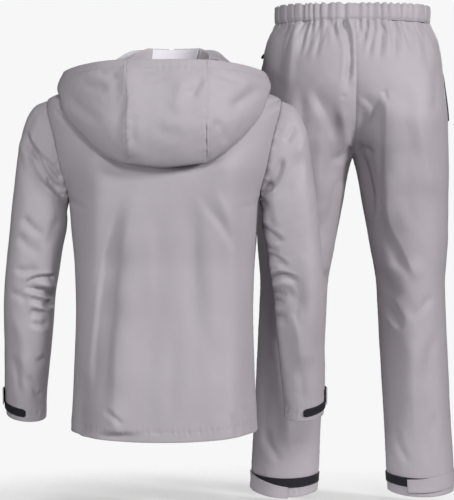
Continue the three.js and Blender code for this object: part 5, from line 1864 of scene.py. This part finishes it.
@dataclass
class TrouserLeg:
    """One leg: its back and front panels, the loop strip round the hem and the tab that closes over it."""

    finishes: Finishes
    band: Waistband
    side: str
    tab: Sequence[float]
    step: float = 3.2
    front_step: float = 4.4
    hem: float = 12.0
    strip_from: float = 19.0
    strip_to: float = 37.0
    strip_lift: float = 1.9
    tab_lift: float = 3.2
    creases: Sequence[Crease] = at_back(
        # drags that fan out below the waistband
        (((308, 19), (304, 37), (299, 62)), 4.3, 7, 0.85, 0.2, 0.02, 0.5),
        (((314, 20), (310, 37), (303, 64)), 3.8, 6, 0.85, -0.2, 0.02, 0.5),
        (((321, 20), (319, 37), (314, 64)), 3.8, 6, 0.85, 0.0, 0.02, 0.5),
        (((330, 20), (336, 36), (337, 50)), 3.5, 6, 0.85, 0.0, 0.02, 0.5),
        (((343, 20), (348, 33), (351, 60), (349, 79), (346, 95)), 7.4, 7, 0.9, 0.2, 0.02, 0.35),
        (((359, 19), (360, 34)), 3.0, 5, 0.85, 0.0, 0.02, 0.5),
        (((366, 20), (364, 46)), 3.5, 6, 0.85, 0.0, 0.02, 0.5),
        (((374, 19), (372, 37), (367, 64)), 4.3, 6, 0.85, -0.2, 0.02, 0.5),
        (((383, 20), (379, 66)), 4.3, 7, 0.8, 0.0, 0.02, 0.5),
        (((394, 20), (396, 40), (394, 62)), 4.3, 7, 0.85, 0.0, 0.02, 0.5),
        (((408, 20), (411, 38), (413, 58)), 3.2, 7, 0.75, 0.0, 0.02, 0.5),
        (((422, 20), (426, 44), (428, 70)), 3.2, 8, 0.65, 0.0, 0.02, 0.5),
        (((286, 22), (281, 50), (276, 84)), 4.5, 12, 0.3, 0.0, 0.05, 0.5),
        (((297, 22), (292, 54), (288, 96)), -3.0, 11, 0.35, 0.3, 0.05, 0.5),
        # seat
        (((312, 86), (320, 102), (329, 118), (337, 146)), 6.5, 19, 0.6, -0.42, 0.3, 0.3),
        (((300, 84), (302, 112), (303, 140)), 3.0, 13, 0.2, 0.0, 0.4, 0.4),
        (((338, 96), (343, 120), (348, 150)), -3.0, 10, 0.4, 0.0, 0.4, 0.2),
        (((340, 95), (347, 98)), 2.0, 6, 0.4, 0.0),
        (((357, 93), (366, 100), (374, 111), (371, 132)), 3.6, 9, 0.7, -0.3, 0.3, 0.4),
        (((383, 90), (387, 112), (388, 160), (388, 208), (393, 230), (402, 248)), -8.0, 17, 0.85, -0.42, 0.12,
         0.2),
        (((366, 102), (364, 150), (373, 222)), 10.0, 25, 0.2, -0.15, 0.2, 0.3),
        (((384, 90), (388, 104)), 2.6, 5, 0.8, 0.0, 0.1, 0.5),
        (((411, 98), (418, 124), (428, 166), (437, 208)), -2.4, 10, 0.9, 0.2, 0.4, 0.3),
        (((436, 60), (437, 90), (435, 118)), 3.0, 11, 0.2, 0.0),
        (((354, 148), (361, 164), (373, 216)), 5.0, 9, 0.6, 0.3, 0.05, 0.3),
        (((354, 146), (364, 152), (376, 155)), 4.4, 8, 0.6, 0.0, 0.02, 0.5),
        (((352, 148), (340, 158), (326, 162)), 4.4, 9, 0.6, 0.0, 0.02, 0.5),
        (((350, 160), (344, 178), (332, 192)), 3.0, 9, 0.4, 0.0, 0.1, 0.5),
        # right leg
        (((394, 231), (403, 249), (418, 282)), -5.0, 13, 0.7, -0.35, 0.25, 0.3),
        (((380, 204), (375, 217), (368, 221)), -3.4, 6, 0.9, 0.0, 0.3, 0.2),
        (((380, 226), (390, 250), (404, 276)), 5.0, 15, 0.3, 0.0),
        (((376, 262), (386, 284), (402, 300)), 3.0, 12, 0.3, 0.0),
        (((384, 303), (393, 316), (402, 332)), 6.5, 10, 0.8, -0.3),
        (((392, 290), (400, 306), (408, 322)), -2.6, 9, 0.6, -0.3),
        (((434, 292), (420, 310), (404, 320)), 2.8, 10, 0.35, 0.0),
        (((440, 330), (430, 352), (428, 396)), 3.0, 12, 0.3, 0.0, 0.4, 0.5),
        (((414, 310), (413, 392), (416, 456)), -6.0, 19, 0.6, -0.2, 0.4, 0.3),
        (((394, 300), (392, 370), (394, 450)), 6.0, 18, 0.15, -0.3, 0.3, 0.3),
        (((392, 424), (399, 446), (411, 468)), 3.0, 9, 0.4, 0.0),
        (((436, 410), (430, 436), (426, 468)), 2.8, 10, 0.35, 0.0),
        # left leg
        (((321, 128), (320, 168), (318, 208)), -5.0, 14, 0.75, -0.3, 0.3, 0.3),
        (((307, 136), (306, 180), (302, 234)), 4.0, 12, 0.3, 0.0, 0.3, 0.5),
        (((336, 180), (333, 206), (326, 232)), 3.4, 9, 0.4, 0.0, 0.3, 0.5),
        (((284, 186), (292, 214), (300, 250)), 3.0, 12, 0.3, 0.0),
        (((328, 268), (316, 288), (298, 297)), 3.4, 10, 0.4, 0.0),
        (((322, 304), (308, 321), (290, 326)), 3.8, 9, 0.5, 0.2),
        (((272, 330), (284, 352), (288, 396)), 3.0, 12, 0.3, 0.0),
        (((288, 340), (287, 400), (290, 460)), -5.5, 18, 0.6, -0.2, 0.4, 0.3),
        (((264, 360), (264, 410), (266, 460)), 5.0, 17, 0.2, -0.3, 0.3, 0.3),
        (((262, 424), (270, 446), (283, 466)), 2.8, 9, 0.4, 0.0),
    ) + at_front(
        # the front, which the photograph hides
        (((352, 60), (344, 96), (330, 130)), 3.4, 14, 0.3, 0.0, 0.3, 0.4),
        (((356, 60), (366, 96), (380, 130)), 3.4, 14, 0.3, 0.0, 0.3, 0.4),
        (((352, 128), (336, 138), (316, 140)), 3.2, 9, 0.5, 0.0, 0.1, 0.5),
        (((356, 128), (374, 138), (394, 140)), 3.2, 9, 0.5, 0.0, 0.1, 0.5),
        (((352, 146), (338, 162), (322, 170)), 2.8, 10, 0.4, 0.0, 0.1, 0.5),
        (((356, 146), (370, 162), (386, 170)), 2.8, 10, 0.4, 0.0, 0.1, 0.5),
        (((300, 240), (296, 300), (300, 372)), 3.0, 16, 0.2, 0.0, 0.4, 0.4),
        (((410, 240), (414, 300), (412, 372)), 3.0, 16, 0.2, 0.0, 0.4, 0.4),
        (((276, 290), (294, 302), (314, 300)), 2.6, 10, 0.4, 0.0, 0.3, 0.4),
        (((434, 290), (416, 302), (396, 300)), 2.6, 10, 0.4, 0.0, 0.3, 0.4),
        (((276, 430), (290, 446), (300, 466)), 2.4, 10, 0.3, 0.0, 0.3, 0.4),
        (((438, 430), (424, 446), (412, 466)), 2.4, 10, 0.3, 0.0, 0.3, 0.4),
    )

    def turned(self, points: Array) -> Array:
        """Points of the right leg in the suit's frame, or mirrored for the left."""
        return (points if self.side == "right" else mirrored(points)) + TROUSERS

    def panel(self, first: Callable[[Array], Array], last: Callable[[Array], Array], step: float,
              seed: int) -> ClothGrid:
        """One panel between two edges.

        Args:
            first: Direction of its first edge by level.
            last: Direction of its last edge.
            step: Most distance between columns, in mm.
            seed: Which unevenness it has.

        Returns:
            The panel.
        """
        probes = [lambda level, share=share: leg_point(first(level) + (last(level) - first(level)) * share,
                                                       level)
                  for share in (0.12, 0.5, 0.95)]
        rows = even_rows(probes, LEG_HEM, 114.7, step)
        wide = lengths_along(leg_point(np.linspace(float(first(rows[:1])[0]), float(last(rows[:1])[0]), 300),
                                       np.full(300, -165.0)), 0)[-1]
        columns = round(wide / (step * DENSITY))
        grid = ClothGrid(self.turned(sweep(leg_point, rows, first(rows), last(rows), columns)))
        local = grid.points - TROUSERS
        rise = [np.abs(local[:, column, 0]) < 1.0 for column in (0, -1)]
        grid.crease(self.creases)
        turn = np.degrees(np.arctan2(local[..., 0], -local[..., 1]))
        below = BAND_BOTTOM - local[..., 2]
        gathers = self.band.gathered(self.ring_angle(turn), np.maximum(below, 0)) * 0.95
        grid.press(gathers - 1.7 * ease(1 - below / 14))
        grid.uneven(0.5, (60, 70, 150), seed)
        grid.uneven(0.14, (30, 30, 46), seed + 1, True)
        run, up = grid.from_left(), grid.from_start()
        for away in (run, grid.from_right()):
            grid.groove(away, 0.9, 2.8)
            grid.pucker(up, away, 0.25, 18, 9, seed + 2)
        grid.points[-1] += np.array([0.0, 0.0, 3.2])
        grid.points[-1] -= grid.normals()[-1] * 2.0
        grid.groove(up - self.hem, 0.4, 1.8)
        grid.pucker(run, up - self.hem, 0.4, 14, 8, seed + 3)
        for column, sewn in zip((0, -1), rise):
            grid.points[sewn, column, 0] = TROUSERS[0]
        return grid

    def ring_angle(self, direction: Array) -> Array:
        """The band's own angle in a direction from its middle."""
        fine = np.linspace(-180, 180, 1441)
        ring = self.band.ring(fine)
        return np.interp(direction, np.degrees(np.arctan2(ring[:, 0], -ring[:, 1])), fine)

    def build(self) -> None:
        """Builds both panels, the strip and the tab, with their sewing."""
        name = self.side
        back_seed, front_seed = (151, 163) if name == "right" else (157, 167)
        side = lambda level: np.full_like(np.asarray(level, float), 90.0)
        back = self.panel(lambda level: SEAM_GAP - seat_cut(level), lambda level: side(level) - SEAM_GAP,
                          self.step, back_seed)
        front = self.panel(lambda level: side(level) + SEAM_GAP, lambda level: 179.95 + seat_cut(level),
                           self.front_step, front_seed)
        for part, grid, cut in (("back", back, Cut(0.36, 1.0, 0.27)),
                                ("front", front, Cut(0.34, 1.0, 0.255))):
            lay(self.finishes, f"leg_{part}_{name}", grid, shell_wall(grid, self.hem), cut)
        sew(self.finishes, f"leg_{name}_stitches", [
            back.line_at(back.from_start(), self.hem), front.line_at(front.from_start(), self.hem)])
        self.build_strip()
        self.build_tab()

    def build_strip(self) -> None:
        """Builds the black loop strip round the hem."""
        angles = np.linspace(-90, 270, 150, endpoint=False)
        levels = np.linspace(LEG_HEM + self.strip_from, LEG_HEM + self.strip_to, 13)
        grid = ClothGrid(self.turned(leg_point(*np.meshgrid(angles, levels))), closed=True)
        grid.crease(self.creases)
        grid.press(np.full(grid.points.shape[:2], -self.strip_lift))
        lay(self.finishes, f"hem_strip_{self.side}", grid, STRAP_WALL, Cut(0.44, 0.018), "strap")
        sew(self.finishes, f"hem_strip_{self.side}_stitches", grid.rims(1.6), 2.8, True, (2.1, 0.45))

    def build_tab(self) -> None:
        """Builds the tab, from the side seam to past the middle of the back."""
        root_high, root_low, end_high, end_low, end = self.tab
        angle, share = np.meshgrid(np.linspace(end, 90, 91), np.linspace(0, 1, 17))
        run = (90 - angle) / (90 - end)
        low = LEG_HEM + root_low + (end_low - root_low) * run
        high = LEG_HEM + root_high + (end_high - root_high) * run
        grid = ClothGrid(self.turned(leg_point(angle, low + (high - low) * share)))
        grid.press(np.full(grid.points.shape[:2], -self.tab_lift))
        grid.uneven(0.35, (22, 22, 16), 173)
        lay(self.finishes, f"hem_tab_{self.side}", grid, HEM_TAB_WALL, Cut(0.15, 0.028), "tab")
        free = grid.from_left() if self.side == "right" else grid.from_right()
        sew(self.finishes, f"hem_tab_{self.side}_stitches", [*grid.rims(2.2), grid.line_down(free, 2.2)], 2.8)


# Zips

@dataclass
class Zip:
    """A closed zip along a path: its tape, its two rows of teeth and their shape."""

    finishes: Finishes
    name: str
    path: Callable[[Array, Array], Array]
    bottom: float
    top: float
    half: float
    sink: float
    pitch: float = 2.6
    tooth: tuple[float, float, float] = (2.9, 1.3, 1.35)

    def frames(self, heights: Array) -> tuple[Array, Array, Array, Array]:
        """Places along the zip with their directions across, out and up.

        Args:
            heights: Heights in mm.

        Returns:
            The places and the three directions.
        """
        centre = np.zeros_like(heights)
        middle = self.path(centre, heights)
        up = unit(self.path(centre, heights + 0.5) - self.path(centre, heights - 0.5))
        wide = unit(self.path(np.ones_like(heights), heights) - middle)
        out = unit(np.cross(wide, up))
        return middle, np.cross(up, out), out, up

    def tooth_shape(self) -> tuple[Array, list]:
        """Models one tooth: a small bevelled block that is narrower where it locks.

        Returns:
            Its vertices and its faces.
        """
        bpy.ops.object.select_all(action="DESELECT")
        bpy.ops.mesh.primitive_cube_add(size=1, location=(0, 0, 0), scale=self.tooth)
        made = bpy.context.object
        bpy.ops.object.transform_apply(location=True, rotation=True, scale=True)
        bpy.ops.object.mode_set(mode="EDIT")
        bpy.ops.mesh.select_all(action="SELECT")
        bpy.ops.mesh.bevel(offset=0.28, segments=1, affect="EDGES")
        bpy.ops.object.mode_set(mode="OBJECT")
        points = np.array([v.co for v in made.data.vertices])
        points[points[:, 0] > 0.8, 2] *= 0.7
        faces = [list(p.vertices) for p in made.data.polygons]
        bpy.data.objects.remove(made)
        return points, faces

    def build(self) -> None:
        """Builds the tape and the teeth."""
        rows = np.linspace(self.bottom, self.top, max(20, int((self.top - self.bottom) / 3)) // 2 * 2 + 1)
        across = np.linspace(-self.half, self.half, 9)
        tape = ClothGrid(self.path(*np.meshgrid(across, rows)))
        tape.press(np.full(tape.points.shape[:2], self.sink))
        long = float(tape.from_start()[-1, 4]) * MM
        lay(self.finishes, self.name, tape, TAPE_WALL, Cut(self.half * 2 * MM, long), "zip")
        shape, faces = self.tooth_shape()
        heights = np.arange(self.bottom + 2, self.top - 1, self.pitch / 2)
        points, made = [], Faces()
        for i, (middle, x, y, z) in enumerate(zip(*self.frames(heights))):
            hand = 1 if i % 2 else -1
            turned = (np.dot(np.cross(x, y), z) < 0) != (hand > 0)
            for face in faces:
                ring = [v + len(points) * len(shape) for v in face]
                made.add(ring[::-1] if turned else ring, np.zeros((len(ring), 2)), 0)
            local = shape * np.array([-hand, 1, 1]) + np.array([hand * 0.75, 0.25, 0])
            points.append(middle + local[:, :1] * x + local[:, 1:2] * y + local[:, 2:] * z)
        teeth = mesh_object(f"{self.name}_teeth", np.concatenate(points) * MM, made)
        smooth(teeth, 30)
        dress(teeth, [self.finishes.chain], "zip", [])


def front_path(across: Array, height: Array) -> Array:
    """The front zip's line, from the hem to the collar. Across runs to the wearer's left."""
    across, height = np.broadcast_arrays(np.asarray(across, float), np.asarray(height, float))
    level = np.minimum(NECK_LEVEL, height)
    for _ in range(6):
        level = np.minimum(NECK_LEVEL, height + BODY.at(level, "front_drop"))
    on_body = bare_body(np.full_like(height, 180.0), level)
    neck = NECK_LEVEL - float(BODY.at(np.float64(NECK_LEVEL), "front_drop"))
    on_collar = collar_point(np.full_like(height, 180.0), clamp01((height - neck) / (50 - neck)))
    y = np.where(height <= neck, on_body[..., 1], on_collar[..., 1])
    return np.stack([lean_at(np.full_like(height, 180.0), height) - across, y, height], -1)


@dataclass
class PocketLine:
    """A pocket zip's line on the front of a hip, running down and back to the side seam."""

    side: str
    start: float = 88.0
    turn: float = 36.0
    lift: float = 2.8

    def __call__(self, across: Array, height: Array) -> Array:
        """A point of the zip."""
        across, height = np.broadcast_arrays(np.asarray(across, float), np.asarray(height, float))
        hand = 1.0 if self.side == "right" else -1.0
        share = (height - POCKET_BOTTOM) / (POCKET_TOP - POCKET_BOTTOM)
        point = leg_point(self.start + self.turn * share**3 + across * hand * 0.42, height)
        middle = np.stack([LEG.at(height, "middle"), np.zeros_like(height), height], -1)
        point = point + unit(point - middle) * self.lift
        return point * np.array([hand, 1, 1]) + TROUSERS


# Studio

@dataclass
class Studio:
    """A pale floor that fades into a pale room, a large soft light at the right, and the camera."""

    floor: float = -0.9
    floor_radius: float = 0.9
    camera: tuple[float, float, float] = (0.125, -4.0, -0.36)
    lens: float = 144.0
    sensor: float = 36.0

    def build(self) -> None:
        """Builds the floor, the lights, the room and the camera."""
        scene = bpy.context.scene
        scene.view_settings.view_transform = "Standard"
        self.light("key_light", (3.3, -2.2, 1.1), (0.1, 0.0, -0.2), 0.7, 119, (1.0, 0.99, 0.98))
        self.light("face_light", (0.7, -3.9, 1.2), (0.0, 0.0, -0.15), 0.9, 64, (1.0, 0.995, 1.0))
        self.light("fill_light", (-1.4, -1.8, -0.1), (-0.25, 0.0, -0.4), 0.6, 20, (0.98, 0.98, 1.0))
        self.light("front_light", (0.8, 3.6, 1.4), (0.1, 0.1, -0.4), 2.4, 105, (1.0, 0.99, 0.98))
        self.light("top_light", (0.2, -0.6, 3.0), (0.1, 0.1, -0.4), 1.6, 12, (1.0, 1.0, 1.0))
        self.room()
        self.ground()
        made = bpy.data.cameras.new("camera")
        made.lens, made.sensor_width, made.sensor_fit = self.lens, self.sensor, "AUTO"
        camera = bpy.data.objects.new("camera", made)
        camera.location, camera.rotation_euler = self.camera, (math.radians(90), 0, 0)
        scene.collection.objects.link(camera)
        scene.camera = camera

    def light(self, name: str, place: Sequence[float], target: Sequence[float], size: float, watts: float,
              colour: Sequence[float]) -> None:
        """Adds one soft square light.

        Args:
            name: Name of the light.
            place: Where it stands, in metres.
            target: What it points at.
            size: Its side, in metres.
            watts: Its power.
            colour: Its colour.
        """
        made = bpy.data.lights.new(name, "AREA")
        made.energy, made.color, made.size = watts, colour, size
        lamp = bpy.data.objects.new(name, made)
        lamp.location = place
        way = np.array(target, float) - np.array(place, float)
        flat = math.hypot(way[0], way[1])
        lamp.rotation_euler = (math.atan2(flat, -way[2]), 0, math.atan2(way[1], way[0]) - math.pi / 2)
        bpy.context.scene.collection.objects.link(lamp)

    def room(self) -> None:
        """A pale room, brighter to look at than the light that it gives."""
        world = bpy.data.worlds.new("room")
        bpy.context.scene.world = world
        world.use_nodes = True
        tree = world.node_tree
        tree.nodes.clear()
        shown, given = tree.nodes.new("ShaderNodeBackground"), tree.nodes.new("ShaderNodeBackground")
        shown.inputs[0].default_value, shown.inputs[1].default_value = (0.93, 0.93, 0.935, 1), 1.0
        given.inputs[0].default_value, given.inputs[1].default_value = (0.97, 0.97, 1.0, 1), 0.045
        kinds = ("ShaderNodeLightPath", "ShaderNodeMixShader", "ShaderNodeOutputWorld")
        path, mix, out = (tree.nodes.new(kind) for kind in kinds)
        tree.links.new(path.outputs["Is Camera Ray"], mix.inputs[0])
        tree.links.new(given.outputs[0], mix.inputs[1])
        tree.links.new(shown.outputs[0], mix.inputs[2])
        tree.links.new(mix.outputs[0], out.inputs[0])

    def ground(self) -> None:
        """A round floor whose edge fades away."""
        bpy.ops.object.select_all(action="DESELECT")
        bpy.ops.mesh.primitive_circle_add(vertices=96, radius=self.floor_radius, fill_type="NGON",
                                          location=(0.15, 0.25, self.floor))
        made = bpy.context.object
        made.name = "floor"
        recipe = Recipe("floor_paint")
        place = recipe.node("ShaderNodeSeparateXYZ", None, {0: recipe.objects_place()})
        x, y = recipe.out(place, 0), recipe.out(place, 1)
        away = (x * x + y * y) ** 0.5
        cover = recipe.out(recipe.node("ShaderNodeMapRange", {"interpolation_type": "SMOOTHSTEP"}, {
            "Value": away, "From Min": 0.22, "From Max": 0.85, "To Min": 1.0, "To Max": 0.0}))
        grain = recipe.noise(30.0, 3.0)
        made.data.materials.append(recipe.finish(
            Base_Color=recipe.blend(grain, (0.62, 0.62, 0.63), (0.66, 0.66, 0.665)),
            Roughness=0.7 + (grain - 0.5) * 0.1,
            Emission_Color=(1.0, 1.0, 1.0, 1), Emission_Strength=0.16, Alpha=cover))
        made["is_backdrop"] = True


# The whole suit

def paint_node(name: str, material: bpy.types.Material) -> None:
    """Gives a CAD node that stays as it is its finish."""
    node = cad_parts[name]
    node.data.materials.clear()
    node.data.materials.append(material)
    smooth(node, 35)


def main() -> None:
    """Builds the suit and its studio, piece by piece."""
    logging.basicConfig(level=logging.INFO, format="%(message)s")
    Studio().build()
    finishes = Finishes()
    JacketBody(finishes).build()
    for side in ("right", "left"):
        Sleeve(finishes, side).build()
    Hood(finishes).build()
    Neck(finishes).build()
    band = Waistband(finishes)
    band.build()
    TrouserLeg(finishes, band, "right", (46, 14, 33, 7, -24)).build()
    TrouserLeg(finishes, band, "left", (41, 4, 19, -3, -3)).build()
    Zip(finishes, "front_zip", front_path, FRONT_ZIP_BOTTOM, FRONT_ZIP_TOP, 6.0, 1.3).build()
    for side in ("right", "left"):
        Zip(finishes, f"pocket_{side}_zip", PocketLine(side), POCKET_BOTTOM, POCKET_TOP, 5.1, 0.5, 2.2,
            (2.6, 1.1, 1.15)).build()
    for name in ("front", "pocket_right", "pocket_left"):
        paint_node(f"{name}_slider", finishes.slider)
        paint_node(f"{name}_pull", finishes.pull)
    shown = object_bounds()
    boxes = {name: [[float(v) for v in corner] for corner in box]
             for name, box in (("cad", CAD_BOX), ("visual", shown))}
    log.info("boxes %s", boxes)


if __name__ == "__main__":
    main()
